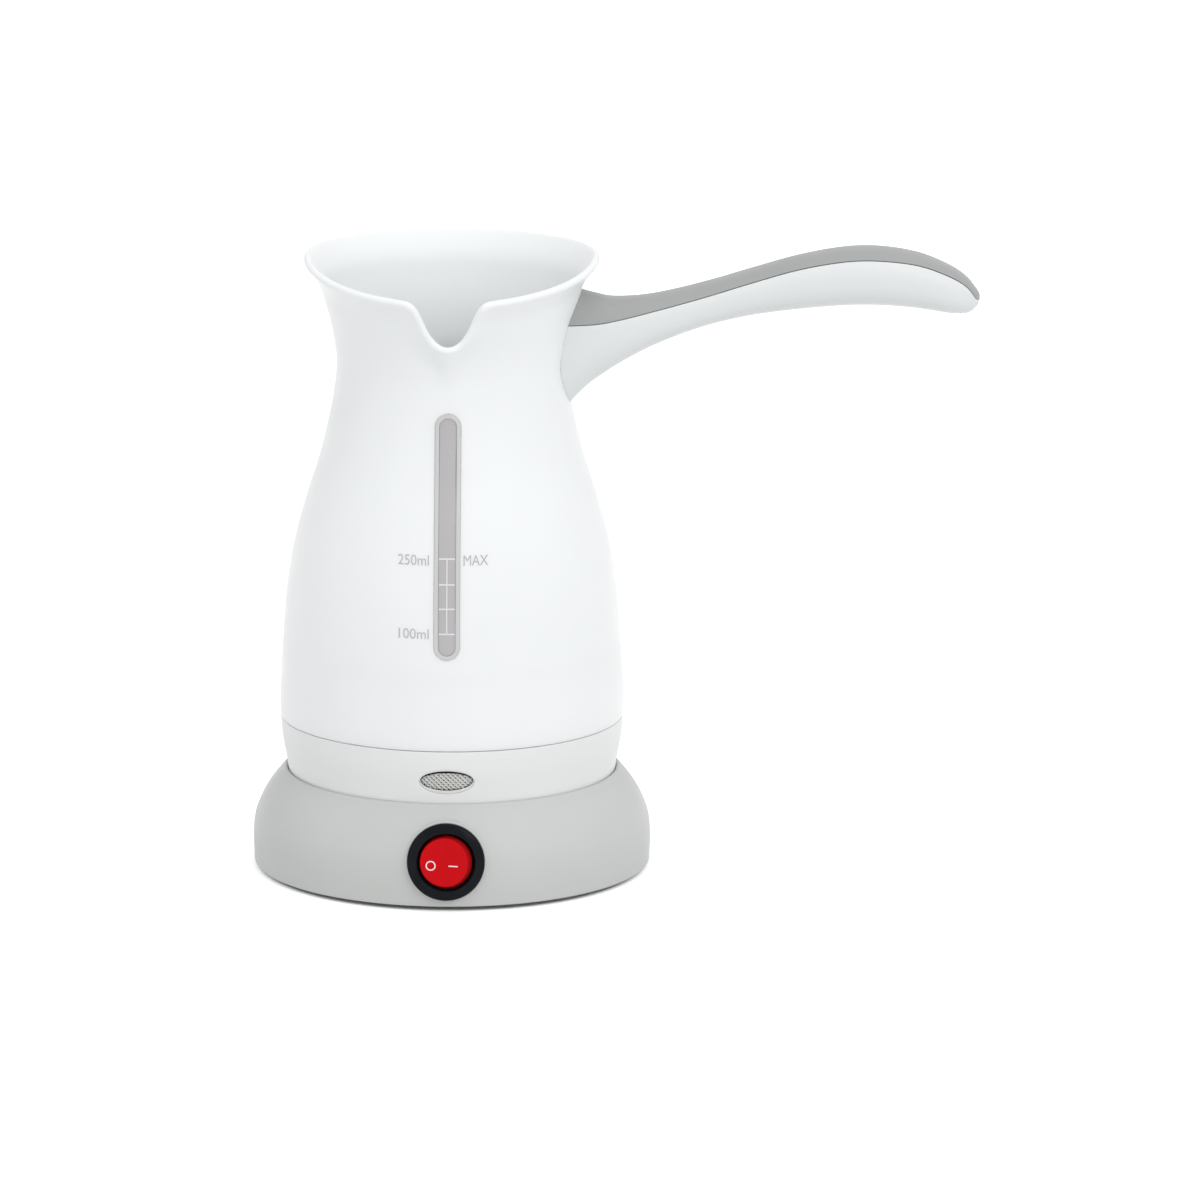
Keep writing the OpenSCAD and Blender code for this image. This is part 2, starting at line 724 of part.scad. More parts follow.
module oval_prism(w, h) {
    translate([0, 0, lens_at]) rotate([90, 0, 0]) linear_extrude(70) oval(w, h);
}

module lower_housing() {
    tongue_out = pot_inside(seam_at) - 0.1;
    color(white) difference() {
        union() {
            rotate_extrude() union() {
                polygon(band(skirt_line, 0, pot_wall));
                translate([inlet_r + 0.4, floor_lo])
                    square([skirt_r - 1 - inlet_r, floor_t]);
                polygon([
                    [tongue_out - 1.8, seam_at - 4], [tongue_out + 0.6, seam_at - 4],
                    [tongue_out + 0.6, seam_at - 0.2], [tongue_out, seam_at - 0.2],
                    [tongue_out, seam_at + 3], [tongue_out - 1.8, seam_at + 3]
                ]);
            }
            around(pillars, pillar_ring) rod(floor_lo, pillar_low - seat_gap - floor_lo, 4);
            around(inlet_screws_at, inlet_ring) rod(floor_lo, 1, boss_r);
        }
        translate([0, 0, seam_at - 0.2]) ring(0, 1, tongue_out, belly_r + 2);
        around(pillars, pillar_ring) rod(floor_lo - 1, 1.3 + head_t, head_r + 0.3);
        around(pillars, pillar_ring) rod(floor_lo, 8, hole_r);
        around(inlet_screws_at, inlet_ring) rod(floor_lo - 1, 8, pilot_r);
        around([for (a = key_angles) a - 90], recess_r)
            translate([-3, -key_w / 2 - 0.3, seat_h - 1]) cube([4, key_w + 0.6, 3.6]);
        oval_prism(lens_w, lens_h);
    }
}

module lamp_lens() {
    color([0.75, 0.75, 0.73], 0.8) union() {
        intersection() {
            rotate_extrude() polygon(band(skirt_line, -0.5, pot_wall + 0.5));
            oval_prism(lens_w - 0.2, lens_h - 0.2);
        }
        intersection() {
            rotate_extrude() polygon(band(skirt_line, pot_wall + seat_gap, pot_wall + 1.2));
            oval_prism(lens_w + 2, lens_h + 2);
        }
    }
}

lamp_y = -(skirt_r - pot_wall - 5.5);
module lamp_bulb() {
    color([0.95, 0.75, 0.6], 0.7) translate([-bulb_len / 2, lamp_y, lens_at]) rotate([0, 90, 0]) union() {
        cylinder(h = bulb_len, r = bulb_r, $fn = part_fn);
        for (end = [0, bulb_len])
            translate([0, 0, end]) sphere(r = bulb_r * 0.9, $fn = part_fn);
    }
}

module lamp_holder() {
    holder_w = bulb_len - 2;
    foot = floor_top + seat_gap;
    color([0.9, 0.9, 0.88]) difference() {
        translate([-holder_w / 2, lamp_y - bulb_r - 1.1, foot])
            cube([holder_w, 2 * bulb_r + 2.2, lens_at - foot]);
        translate([-bulb_len, lamp_y, lens_at]) rotate([0, 90, 0])
            cylinder(h = 2 * bulb_len, r = bulb_r + seat_gap, $fn = part_fn);
    }
}

module floor_plate() {
    color(steel) translate([0, 0, plate_z]) cylinder(h = plate_t, r = plate_r);
}

module floor_seal() {
    color([0.85, 0.3, 0.2]) rotate_extrude() polygon([
        [shelf_r + 0.6, plate_z + plate_t + 0.03], [plate_r + seat_gap, plate_z + plate_t + 0.03],
        [plate_r + seat_gap, plate_z], [plate_r + 0.9, plate_z],
        [plate_r + 0.9, shelf_at - 0.03], [shelf_r + 0.6, shelf_at - 0.03]
    ]);
}

module clamp_ring() {
    color(steel) difference() {
        union() {
            ring(clamp_z, clamp_t, clamp_in_r, clamp_r);
            around(clamp_screws, ear_ring) rod(clamp_z, clamp_t, 3.6);
        }
        around(clamp_screws, ear_ring) rod(clamp_z - 1, 5, hole_r);
        translate([0, 0, clamp_z - 1]) cylinder(h = 5, r = clamp_in_r);
    }
}

module clamp_screws_set() {
    color(steel) around(clamp_screws, ear_ring) screw(clamp_z - seat_gap, 5, 1);
}

module heat_spreader() {
    color([0.8, 0.8, 0.82]) translate([0, 0, spreader_z]) cylinder(h = spreader_t - seat_gap, r = spreader_r);
}

heater_open = 50;
leg_turn = heater_open / 2 + 4;
leg_x = heater_ring_r * sin(leg_turn);
leg_y = heater_ring_r * cos(leg_turn);
module heater_element() {
    color([0.55, 0.55, 0.56]) union() {
        rotate([0, 0, 90 + heater_open / 2]) translate([0, 0, heater_z])
            rotate_extrude(angle = 360 - heater_open) translate([heater_ring_r, 0])
                circle(r = heater_r, $fn = part_fn);
        for (side = [-1, 1])
            translate([side * leg_x, leg_y, 0]) rod(leg_low, heater_z - leg_low, heater_r - 0.9);
    }
}

thermo_r = 9;
module thermostat() {
    top = spreader_z - seat_gap;
    color([0.3, 0.3, 0.32]) union() {
        rod(top - 7, 7, thermo_r);
        rod(top - 1.2, 1.2, thermo_r + 2.4);
        for (x = [-5, 5])
            translate([x - 2, -0.4, tab_low]) cube([4, 0.8, top - 6 - tab_low]);
    }
}

module thermal_fuse() {
    color([0.85, 0.85, 0.8]) translate([-6, fuse_y, fuse_z]) rotate([0, 90, 0])
        cylinder(h = 12, r = fuse_r, $fn = part_fn);
}

module inlet_block() {
    low = floor_top + seat_gap;
    color([0.15, 0.15, 0.16]) difference() {
        union() {
            translate([0, 0, low]) cylinder(h = inlet_top + inlet_slab - low, r = inlet_r + inlet_wall);
            translate([0, 0, low]) cylinder(h = 2.2, r = inlet_flange_r);
        }
        translate([0, 0, low - 1]) cylinder(h = inlet_top - low + 1, r = inlet_r);
        around(pins, pin_ring) rod(inlet_top - 1, 8, pin_r + seat_gap);
        around(inlet_screws_at, inlet_ring) rod(low - 1, 5, hole_r);
    }
}

module inlet_pins() {
    color(brass) around(pins, pin_ring) union() {
        rod(pin_low, pin_high - pin_low, pin_r);
        rod(inlet_top - 0.9, 0.8, pin_r + 0.8);
    }
}

module inlet_screws() {
    color(steel) around(inlet_screws_at, inlet_ring) screw(floor_top + 2.35, 4.2, -1);
}

module housing_screws() {
    color(steel) around(pillars, pillar_ring) screw(floor_lo + 0.3 + head_t, pillar_screw, 1);
}

module live_lead() {
    color([0.45, 0.25, 0.12]) lead([
        [pin_at(210)[0], pin_at(210)[1], pin_high + 1.4], [-9.5, -4.6, pin_high + 2.6],
        [-10.5, -2, tab_low], [-8, 0, tab_low - 1.2], [-5, 0, tab_low - 1.3]
    ]);
}

module neutral_lead() {
    color([0.15, 0.3, 0.7]) lead([
        [pin_at(330)[0], pin_at(330)[1], pin_high + 1.4], [9, -8, pin_high + 2.6],
        [11.5, -13, lead_z], [10.5, fuse_y, fuse_z - 2.5], [7.2, fuse_y, fuse_z - 0.2]
    ]);
}

// From the thermostat to one leg of the heater, and from the fuse to the other leg
module heater_leads() {
    color([0.85, 0.8, 0.7]) {
        lead([
            [5, 0, tab_low - 1.3], [9.5, 3, tab_low - 1.5], [13, 11, leg_low - 1.6],
            [12.5, 17, leg_low - 1.7], [leg_x, leg_y, leg_low - 1.3]
        ]);
        lead([
            [-7.3, fuse_y, fuse_z - 0.2], [-11, fuse_y + 1, fuse_z - 3], [-15, -6, lead_z],
            [-16, 8, lead_z - 4], [-13.5, 16, leg_low - 1.8], [-leg_x, leg_y, leg_low - 1.3]
        ]);
    }
}

module earth_lead() {
    color([0.2, 0.5, 0.2]) lead([
        [pin_at(90)[0], pin_at(90)[1], pin_high + 1.4], [1, 14, pin_high + 2.6], [7, 27, lead_z + 1],
        [14, 31.5, clamp_z - 5.5], [19, 31, clamp_z - 1.35]
    ]);
}

module lamp_leads() {
    cap_z = inlet_top + inlet_slab;
    end_x = bulb_len / 2 + 3.8;
    color([0.75, 0.75, 0.75]) for (side = [-1, 1])
        lead([
            [side * 7.5, -6.8, cap_z + 1.3], [side * 9, -16, cap_z + 3.5], [side * 10.5, -28, cap_z + 2],
            [side * (end_x + 1), lamp_y + 2, lens_at + 2.4], [side * end_x, lamp_y, lens_at]
        ]);
}

// ---- Handle --------------------------------------------------------------------------------------

// Each station along the handle: share of the length, height of the underside, of the parting line
// and of the top above the root's parting line, and the half width
root_x = 36;
handle_len = handle_reach - root_x;
STATIONS = [
    [0, -22.7, 1.65, 11.1, root_w],
    [0.055, -16.3, 1.95, 9.8, 0.5 * (root_w + shank_w)],
    [0.11, -11.4, 3.1, 8.9, 0.25 * root_w + 0.75 * shank_w],
    [0.2, -5.4, 5.85, 9.8, shank_w],
    [0.32, 0.3, 10, 13.2, shank_w],
    [0.435, 3.8, 14.5, 17.3, 0.6 * shank_w + 0.4 * grip_w],
    [0.555, 5.9, 18.8, 21.5, 0.2 * shank_w + 0.8 * grip_w],
    [0.67, 7.1, 21.3, 24.1, grip_w],
    [0.76, 7.2, 21.5, 24.3, grip_w],
    [0.85, 6.3, 20, 22.5, grip_w - 0.6],
    [0.925, 4.9, 16.6, 18.9, grip_w - 2],
    [0.967, 4.8, 13.3, 15.6, 0.66 * grip_w],
    [0.99, 6.4, 9.6, 12.4, 0.42 * grip_w],
    [1, 8.2, 9.2, 10.6, 0.2 * grip_w]
];
handle_line = smooth(STATIONS, 2);
function handle_at(x, i) = lookup((x - root_x) / handle_len, [for (s = handle_line) [s[0], s[i]]]);
function underside(x) = parting_at + handle_at(x, 1);
function parting(x) = parting_at + handle_at(x, 2);
function topside(x) = parting_at + handle_at(x, 3);

// Points of a rounded oval from one end of the parting line to the other, below it or above it
round_power = 2 / 2.5;
function powered(v) = sign(v) * pow(abs(v), round_power);
function oval_arc(w, h, cut, m, below) =
    let (s = max(-0.97, min(0.97, cut / h)), a = asin(sign(s) * pow(abs(s), 1 / round_power)))
    [for (k = [0:m]) let (t = below ? a - k / m * (180 + 2 * a) : a + k / m * (180 - 2 * a))
        [w * powered(cos(t)), h * powered(sin(t))]];

// The wall of one half as a closed outline at a station, in the plane across the handle
function half_ring(s, m, below) =
    let (mid = (s[1] + s[3]) / 2, h = (s[3] - s[1]) / 2, cut = s[2] - mid + (below ? 0 : 0.25),
         w_in = max(s[4] - handle_wall, 0.25 * s[4]), h_in = max(h - handle_wall, 0.25 * h),
         outer = oval_arc(s[4], h, cut, m, below),
         inner = oval_arc(w_in, h_in, min(cut, 0.95 * h_in), m, below))
    [for (q = concat(outer, reversed(inner))) [q[0], parting_at + mid + q[1]]];

// Close to the pot a point lies on the pot's side, and further out in its station's plane
blend_x = 46;
root_gap = 0.45;
function handle_x(x, y, z) =
    let (r = pot_radius(z) + root_gap, side = sqrt(r * r - y * y), t = (x - root_x) / (blend_x - root_x))
    x >= blend_x ? x : side + t * (blend_x - side);

module handle_half(below) {
    m = 11;
    n = 2 * (m + 1);
    last = len(handle_line) - 1;
    points = [for (s = handle_line) let (x = root_x + s[0] * handle_len)
        for (q = half_ring(s, m, below)) [handle_x(x, q[0], q[1]), q[0], q[1]]];
    walls = [for (i = [0:last - 1], k = [0:n - 1]) each let (a = n * i + k, b = n * i + (k + 1) % n)
        [[a, b, b + n], [a, b + n, a + n]]];
    root_end = [for (k = [0:m - 1]) each [[k, n - 1 - k, n - 2 - k], [k, n - 2 - k, k + 1]]];
    tip = [for (f = root_end) [f[0] + n * last, f[2] + n * last, f[1] + n * last]];
    all = concat(walls, root_end, tip);
    polyhedron(points, below ? all : [for (f = all) reversed(f)], convexity = 8);
}

peg_x = [95, 133];
module handle_lower() {
    post_r = 2.8;
    post_foot = [2, 1.4];
    color(white) difference() {
        union() {
            handle_half(true);
            for (i = [0, 1]) let (x = handle_screws_x[i], low = underside(x) + post_foot[i])
                translate([x, 0, 0]) rod(low, tongue_z - seat_gap - low, post_r);
            for (x = peg_x)
                translate([x, 0, 0]) rod(underside(x) + 1, parting(x) - underside(x) - 3, 3);
        }
        for (x = handle_screws_x)
            translate([x, 0, 0]) rod(tongue_z - 3.6, 6, pilot_r);
        for (x = peg_x)
            translate([x, 0, 0]) rod(underside(x) + 3, 20, 1.7 + seat_gap);
    }
}

module handle_cap() {
    color(pale_grey) union() {
        handle_half(false);
        for (x = peg_x)
            translate([x, 0, 0]) rod(underside(x) + 5, topside(x) - 1.2 - underside(x) - 5, 1.7);
    }
}

module handle_screws() {
    color(steel) for (x = handle_screws_x)
        translate([x, 0, 0]) screw(tongue_z + tongue_t + seat_gap, 6, -1);
}

base_shell();
base_bottom_cover();
foot_ring();
base_screws();
switch_housing();
switch_rocker();
switch_plunger();
switch_spring();
switch_contact_lever();
switch_terminals();
socket_block();
socket_contacts();
socket_screws();
cord_gland();
cord_clamp();
cord_clamp_screws();
switched_lead();
pot_body();
level_window();
window_gasket();
lower_housing();
lamp_lens();
lamp_bulb();
lamp_holder();
floor_plate();
floor_seal();
clamp_ring();
clamp_screws_set();  // clamp_screws
heat_spreader();
heater_element();
thermostat();
thermal_fuse();
inlet_block();
inlet_pins();
inlet_screws();
housing_screws();
live_lead();
neutral_lead();
heater_leads();
earth_lead();
lamp_leads();
handle_lower();
handle_cap();
handle_screws();
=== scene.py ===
"""The looks of an electric Turkish coffee maker: a white lift-off pot on a grey switched base.

Everything is in metres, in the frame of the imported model: the pot's axis is Z, the pour notch and the
switch face -Y, and the handle points along +X. Flat shapes are drawn in X and Y with their height in Z,
and are then wrapped onto the front of the pot or set into the switch.
"""

import math

import bmesh
import bpy
from mathutils import Matrix, Vector


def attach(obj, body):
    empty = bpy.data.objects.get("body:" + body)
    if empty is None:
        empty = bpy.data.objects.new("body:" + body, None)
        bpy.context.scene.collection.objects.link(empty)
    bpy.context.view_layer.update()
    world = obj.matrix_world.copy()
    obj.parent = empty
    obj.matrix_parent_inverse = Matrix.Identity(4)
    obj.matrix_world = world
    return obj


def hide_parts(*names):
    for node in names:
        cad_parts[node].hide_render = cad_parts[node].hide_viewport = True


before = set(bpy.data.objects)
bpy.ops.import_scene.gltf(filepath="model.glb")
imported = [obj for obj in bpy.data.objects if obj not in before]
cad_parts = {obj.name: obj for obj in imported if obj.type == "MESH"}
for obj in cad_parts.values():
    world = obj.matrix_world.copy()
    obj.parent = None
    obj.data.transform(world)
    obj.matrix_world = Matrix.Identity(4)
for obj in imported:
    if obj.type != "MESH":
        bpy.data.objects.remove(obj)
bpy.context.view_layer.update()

# ---- Places and sizes ----


def shift(*way):
    return Matrix.Translation(way)


def rotation(degrees, axis):
    return Matrix.Rotation(math.radians(degrees), 4, axis)


MM = 0.001
HAIR = 0.02 * MM

BASE_R = 60 * MM
BASE_H = 30.4 * MM
BASE_WALL = 2.2 * MM
RECESS_R = 49.6 * MM
SEAT_H = 28 * MM
SEAT_IN_R = 44 * MM
DECK_TOP = SEAT_H - 0.6 * MM
DECK_LOW = DECK_TOP - BASE_WALL
SOCKET_GAP_R = 16.4 * MM
KEY_ANGLES = (0, 60, 120, 180, 240, 300)
SCREW_ANGLES = (45, 135, 225, 315)
SCREW_RING = 47.5 * MM

RIM_H = 187.26 * MM
LIP_R = 44.8 * MM
NECK_R = 34.5 * MM
NECK_Z = 152 * MM
BELLY_R = 51.8 * MM
BELLY_Z = 54 * MM
SKIRT_R = 49.2 * MM
SEAM_Z = 46.6 * MM
WALL = 2.2 * MM
FOOT_Z = SEAT_H + 0.05 * MM
LIP_END_R = LIP_R - 0.36 * MM
LIP_END_Z = RIM_H - 1.1 * MM
SHELF_Z = 66 * MM
SHELF_T = 3.5 * MM
SHELF_R = 34.5 * MM
PILLAR_ANGLES = (90, 210, 330)
PILLAR_RING = 43 * MM
PILLAR_LOW = 33.4 * MM
PART_GAP = 0.05 * MM

RIM_DIP = 7.92 * MM
DIP_SOFTNESS = 0.2
DIP_POWER = 1.1
DIP_FROM = 150 * MM
NOTCH_DEPTH = 17.8 * MM
BEAK_OUT = 6 * MM
BEAK_FROM = 151.5 * MM
BEAK_TO = 174 * MM
BEAK_FOOT = 1.7
BEAK_SPREAD = 6.5

WINDOW_W = 7.75 * MM
WINDOW_LOW = 73.9 * MM
WINDOW_HIGH = 144.8 * MM
WINDOW_BORDER = 1.3 * MM
WINDOW_PROUD = 0.3 * MM
WINDOW_GAP = 0.05 * MM
WINDOW_CUTS = 48
PANE_LIFT = 0.02 * MM
LEVELS = [103.55 * MM, 96.15 * MM, 89.05 * MM, 81.7 * MM]
LABEL_H = 3 * MM
CAPITAL_SHARE = 0.7
MARK_T = 0.06 * MM

SWITCH_TILT = 7
BEZEL_R = 11.5 * MM
BARREL_R = 9.8 * MM
BARREL_LEN = 15 * MM
ROCKER_R = 7.95 * MM
ROCKER_THROW = 11
ROCKER_TOP = 2 * MM
ROCKER_SLOPE = 0.175
ROCKER_DRAFT = 0.905
ROCKER_TAPER = 0.88
MARK_DROP = 0.95 * MM
SWITCH_Z = 15 * MM
SWITCH_Y = -(BASE_R + 0.3 * MM - BEZEL_R * math.sin(math.radians(SWITCH_TILT)))
SWITCH_PLACE = shift(0, SWITCH_Y, SWITCH_Z) @ rotation(90 - SWITCH_TILT, "X")
ROCKER_PLACE = SWITCH_PLACE @ rotation(-ROCKER_THROW, "Y")

LENS_W = 16.3 * MM
LENS_H = 7.8 * MM
LENS_Z = 37.1 * MM
LENS_BACK = 0.5 * MM
PRISM_CELL = 1.0 * MM
PRISM_RISE = 0.75 * MM
PRISM_COUNT = 15
LENS_HOLE_SHARE = (0.985, 0.83)

GLAND_R = 4.8 * MM
GLAND_Z = 12 * MM
CORD_R = 3.3 * MM

HANDLE_Z = 165 * MM
HANDLE_ROOT = 36 * MM
HANDLE_REACH = 157.2 * MM
HANDLE_WALL = 2.2 * MM
GRIP_W = 12.5 * MM
SHANK_W = 10 * MM
ROOT_W = 11.5 * MM

# ---- Curves ----


def on_curve(a, b, c, d, t):
    """A value of a smooth curve between b and c, with a and d beside them."""
    return 0.5 * (2 * b + (c - a) * t + (2 * a - 5 * b + 4 * c - d) * t ** 2
                  + (3 * b - a - 3 * c + d) * t ** 3)


def smooth(points, steps):
    """A smooth curve through all points, with so many steps between neighbours."""
    last = len(points) - 1
    curve = []
    for i in range(last):
        near = [points[max(i - 1, 0)], points[i], points[i + 1], points[min(i + 2, last)]]
        for k in range(steps):
            curve.append(tuple(on_curve(*values, k / steps) for values in zip(*near)))
    return curve + [tuple(points[last])]


def inset(curve, distance):
    """The curve of (radius, height) points moved to its left."""
    moved = []
    for i, (r, z) in enumerate(curve):
        before, after = curve[max(i - 1, 0)], curve[min(i + 1, len(curve) - 1)]
        along = Vector((after[0] - before[0], after[1] - before[1])).normalized()
        moved.append((r - distance * along.y, z + distance * along.x))
    return moved


def lookup(curve, key, pick=0, by=1):
    """The value of a curve at a key, as pairs that rise along the key."""
    for before, after in zip(curve, curve[1:]):
        if before[by] <= key <= after[by]:
            share = (key - before[by]) / max(after[by] - before[by], 1e-12)
            return before[pick] + share * (after[pick] - before[pick])
    return curve[0][pick] if key < curve[0][by] else curve[-1][pick]


def ease(t):
    """From 0 to 1 with level ends."""
    t = min(max(t, 0), 1)
    return t * t * (3 - 2 * t)


# Shares of the rise and of the swell: of the skirt, of the side above the seam, and of the flare to the lip
SKIRT = [(0, 0), (0.27, 0.25), (0.65, 0.76)]
SIDE = [(0, 1), (0.2, 0.935), (0.34, 0.862), (0.47, 0.735), (0.6, 0.535), (0.74, 0.288), (0.88, 0.098),
        (1, 0)]
FLARE = [(0.2, 0.035), (0.42, 0.16), (0.66, 0.373), (0.79, 0.5), (0.9, 0.72), (1, 1)]


def share_points(shares, low, high):
    """Points from shares of the rise and of the swell between two (radius, height) points."""
    return [(low[0] + swell * (high[0] - low[0]), low[1] + rise * (high[1] - low[1]))
            for rise, swell in shares]


POT_LINE = smooth(
    share_points(SKIRT, (SKIRT_R, FOOT_Z), (BELLY_R, SEAM_Z)) + [(BELLY_R - 0.12 * MM, SEAM_Z)]
    + share_points(SIDE, (NECK_R, BELLY_Z), (BELLY_R, NECK_Z))
    + share_points(FLARE, (NECK_R, NECK_Z), (LIP_END_R, LIP_END_Z)), 8)
SKIRT_LINE = [point for point in POT_LINE if point[1] <= SEAM_Z + HAIR]

# Millimetres in from the base's widest place, and share of the base's height
DOME = [(-0.045, 0.3), (0.4, 0.48), (1.5, 0.6), (3.3, 0.725), (5.9, 0.855)]
DOME_LINE = smooth(
    [(BASE_R - 0.2 * MM, 1.45 * MM)] + [(BASE_R - step * MM, share * BASE_H) for step, share in DOME]
    + [(RECESS_R + 1.2 * MM, BASE_H - 0.5 * MM), (RECESS_R + 0.5 * MM, BASE_H - 0.1 * MM)], 6)


def pot_radius(z):
    return lookup(POT_LINE, z)


# ---- Modelling ----


def named(name):
    """The object that was just added, under its name and with its place in its mesh."""
    piece = bpy.context.object
    piece.name = name
    piece.data.name = name
    bpy.ops.object.transform_apply()
    return piece


def only(piece):
    """Selects one object alone."""
    bpy.ops.object.select_all(action="DESELECT")
    piece.select_set(True)
    bpy.context.view_layer.objects.active = piece


def adjust(thing, settings):
    for key, value in settings.items():
        setattr(thing, key, value)


def modify(piece, kind, **settings):
    """Adds a modifier with its settings and applies it."""
    only(piece)
    modifier = piece.modifiers.new(kind.title(), kind)
    adjust(modifier, settings)
    bpy.ops.object.modifier_apply(modifier=modifier.name)


def remove(piece):
    mesh = piece.data
    bpy.data.objects.remove(piece)
    bpy.data.meshes.remove(mesh)


def combine(piece, tool, operation="DIFFERENCE"):
    """Cuts a tool out of a piece, adds it, or keeps what both share."""
    modify(piece, "BOOLEAN", object=tool, operation=operation, solver="EXACT")
    remove(tool)


def joined(piece, others):
    """Puts the meshes of several objects into one piece."""
    only(piece)
    for other in others:
        other.select_set(True)
    bpy.ops.object.join()
    return piece


def enter(piece):
    """Edit mode with everything selected."""
    only(piece)
    bpy.ops.object.mode_set(mode="EDIT")
    bpy.ops.mesh.select_mode(type="VERT")
    bpy.ops.mesh.select_all(action="SELECT")


def every(part):
    return True


def pick(piece, kind, chosen=every):
    """Edit mode with those faces or edges selected for which chosen holds."""
    enter(piece)
    bpy.ops.mesh.select_mode(type=kind)
    bpy.ops.mesh.select_all(action="DESELECT")
    mesh = bmesh.from_edit_mesh(piece.data)
    for part in {"FACE": mesh.faces, "EDGE": mesh.edges}[kind]:
        if chosen(part):
            part.select_set(True)
    bmesh.update_edit_mesh(piece.data)


def middle(edge):
    return (edge.verts[0].co + edge.verts[1].co) / 2


def looks_up(face):
    return face.normal.z > 0.9


def inset_steps(*steps):
    """Insets the selected faces step by step, each by a width and a rise."""
    for width, rise in steps:
        bpy.ops.mesh.inset(thickness=width, depth=rise)


def leave():
    bpy.ops.object.mode_set(mode="OBJECT")


def leave_outwards():
    """Turns all faces outwards and leaves edit mode."""
    bpy.ops.mesh.select_all(action="SELECT")
    bpy.ops.mesh.normals_make_consistent(inside=False)
    leave()


def merge(piece):
    """Closes seams and poles."""
    enter(piece)
    bpy.ops.mesh.remove_doubles(threshold=2e-6)
    bpy.ops.mesh.delete_loose()
    leave()


def tidy(piece):
    """Closes a solid's seams and poles, turns all its faces outwards, and gives it back."""
    merge(piece)
    enter(piece)
    leave_outwards()
    return piece


def round_edges(piece, radius, sharpness=50, segments=3, chosen=every):
    """Rounds the edges that are sharper than an angle."""
    limit = math.radians(sharpness)
    pick(piece, "EDGE", lambda edge: edge.calc_face_angle(0) > limit and chosen(edge))
    bpy.ops.mesh.bevel(
        offset=radius, offset_type="OFFSET", segments=segments, affect="EDGES", clamp_overlap=True)
    leave()


def shade(piece, angle=40):
    """Shades a piece smoothly but for its sharp edges, and gives it back."""
    only(piece)
    bpy.ops.object.shade_smooth_by_angle(angle=math.radians(angle))
    return piece


def reshape(piece, place):
    """Moves every corner of a piece to where place says."""
    for corner in piece.data.vertices:
        corner.co = place(corner.co)
    piece.data.update()


def grid(name, columns, rows, place):
    """A sheet of square faces whose corners go where place puts them, by column and row."""
    bpy.ops.mesh.primitive_grid_add(x_subdivisions=columns, y_subdivisions=rows, size=1)
    sheet = named(name)
    for corner in sheet.data.vertices:
        corner.co = place(round((corner.co.x + 0.5) * columns), round((corner.co.y + 0.5) * rows))
    return sheet


def turned(name, outline, segments=128):
    """A solid turned round the Z axis from a closed outline of (radius, height) points."""
    bpy.ops.mesh.primitive_circle_add(vertices=len(outline), radius=BASE_R)
    piece = named(name)
    for corner, (radius, height) in zip(piece.data.vertices, outline):
        corner.co = (radius, 0, height)
    enter(piece)
    bpy.ops.mesh.spin(steps=segments, angle=2 * math.pi, center=(0, 0, 0), axis=(0, 0, 1))
    leave()
    return tidy(piece)


def block(name, low, high):
    """A box between two corners."""
    centre = (Vector(low) + Vector(high)) / 2
    bpy.ops.mesh.primitive_cube_add(size=1, location=centre, scale=Vector(high) - Vector(low))
    return named(name)


def post(name, x, y, low, high, radius, sides=48):
    """A round post that stands between two heights."""
    bpy.ops.mesh.primitive_cylinder_add(
        vertices=sides, radius=radius, depth=high - low, location=(x, y, (low + high) / 2))
    return named(name)


def around(angle, distance):
    """A point at an angle in degrees and a distance from the axis."""
    return distance * math.cos(math.radians(angle)), distance * math.sin(math.radians(angle))


def posts(name, angles, distance, low, high, radius):
    """Round posts between two heights, at several angles round the axis."""
    return [post(name, *around(angle, distance), low, high, radius) for angle in angles]


def placed(piece, place):
    """Moves or turns the mesh of a piece and gives the piece back."""
    piece.data.transform(place)
    return piece


def stadium(name, width, low, high):
    """A flat face with two straight sides and round ends, from low to high along Y."""
    half = width / 2
    corners = 48
    bpy.ops.mesh.primitive_circle_add(vertices=corners, radius=half, fill_type="NGON")
    piece = named(name)
    arc = corners // 2
    for i, corner in enumerate(piece.data.vertices):
        turn = math.pi * (i % arc) / (arc - 1)
        side = 1 if i < arc else -1
        centre = high - half if i < arc else low + half
        corner.co = (side * half * math.cos(turn), centre + side * half * math.sin(turn), 0)
    pick(piece, "EDGE", lambda edge: edge.calc_length() > width)
    bpy.ops.mesh.subdivide(number_cuts=WINDOW_CUTS)
    leave_outwards()
    return piece


def extrude(rise):
    """Extrudes what is selected along Z."""
    bpy.ops.mesh.extrude_region_move(TRANSFORM_OT_translate={"value": (0, 0, rise)})


def extrude_all(piece, rise):
    """Gives a flat piece its thickness."""
    enter(piece)
    extrude(rise)
    leave_outwards()


def stand_up(point):
    """From flat X, Y and height to the front of the part."""
    return point.x, -point.z, point.y


def on_front(point):
    """Where a flat point lies on the pot's round front, seen straight from -Y."""
    reach = pot_radius(point.y) + point.z
    return point.x, -math.sqrt(max(reach * reach - point.x ** 2, 0)), point.y


# ---- Pot ----

POT_COLUMNS = 288
POT_ROWS = 96
EDGE_ROWS = [0, 1.15 * MM, 2.2 * MM]
RIM_R = 43 * MM
NOTCH_STEPS = 16
BACK_STEPS = 400
CROWDING = 1.4
CROWD_FROM = 0.6
CROWD_OVER = 0.25
ROW_CROWDING = 1.15


def dip(angle, height):
    """How far the rim sinks towards the front, with a soft start at the sides."""
    front = (0.5 * (math.cos(angle) + math.hypot(math.cos(angle), DIP_SOFTNESS))) ** DIP_POWER
    rise = ease((height - DIP_FROM) / (LIP_END_Z - DIP_FROM))
    return RIM_DIP * front * rise


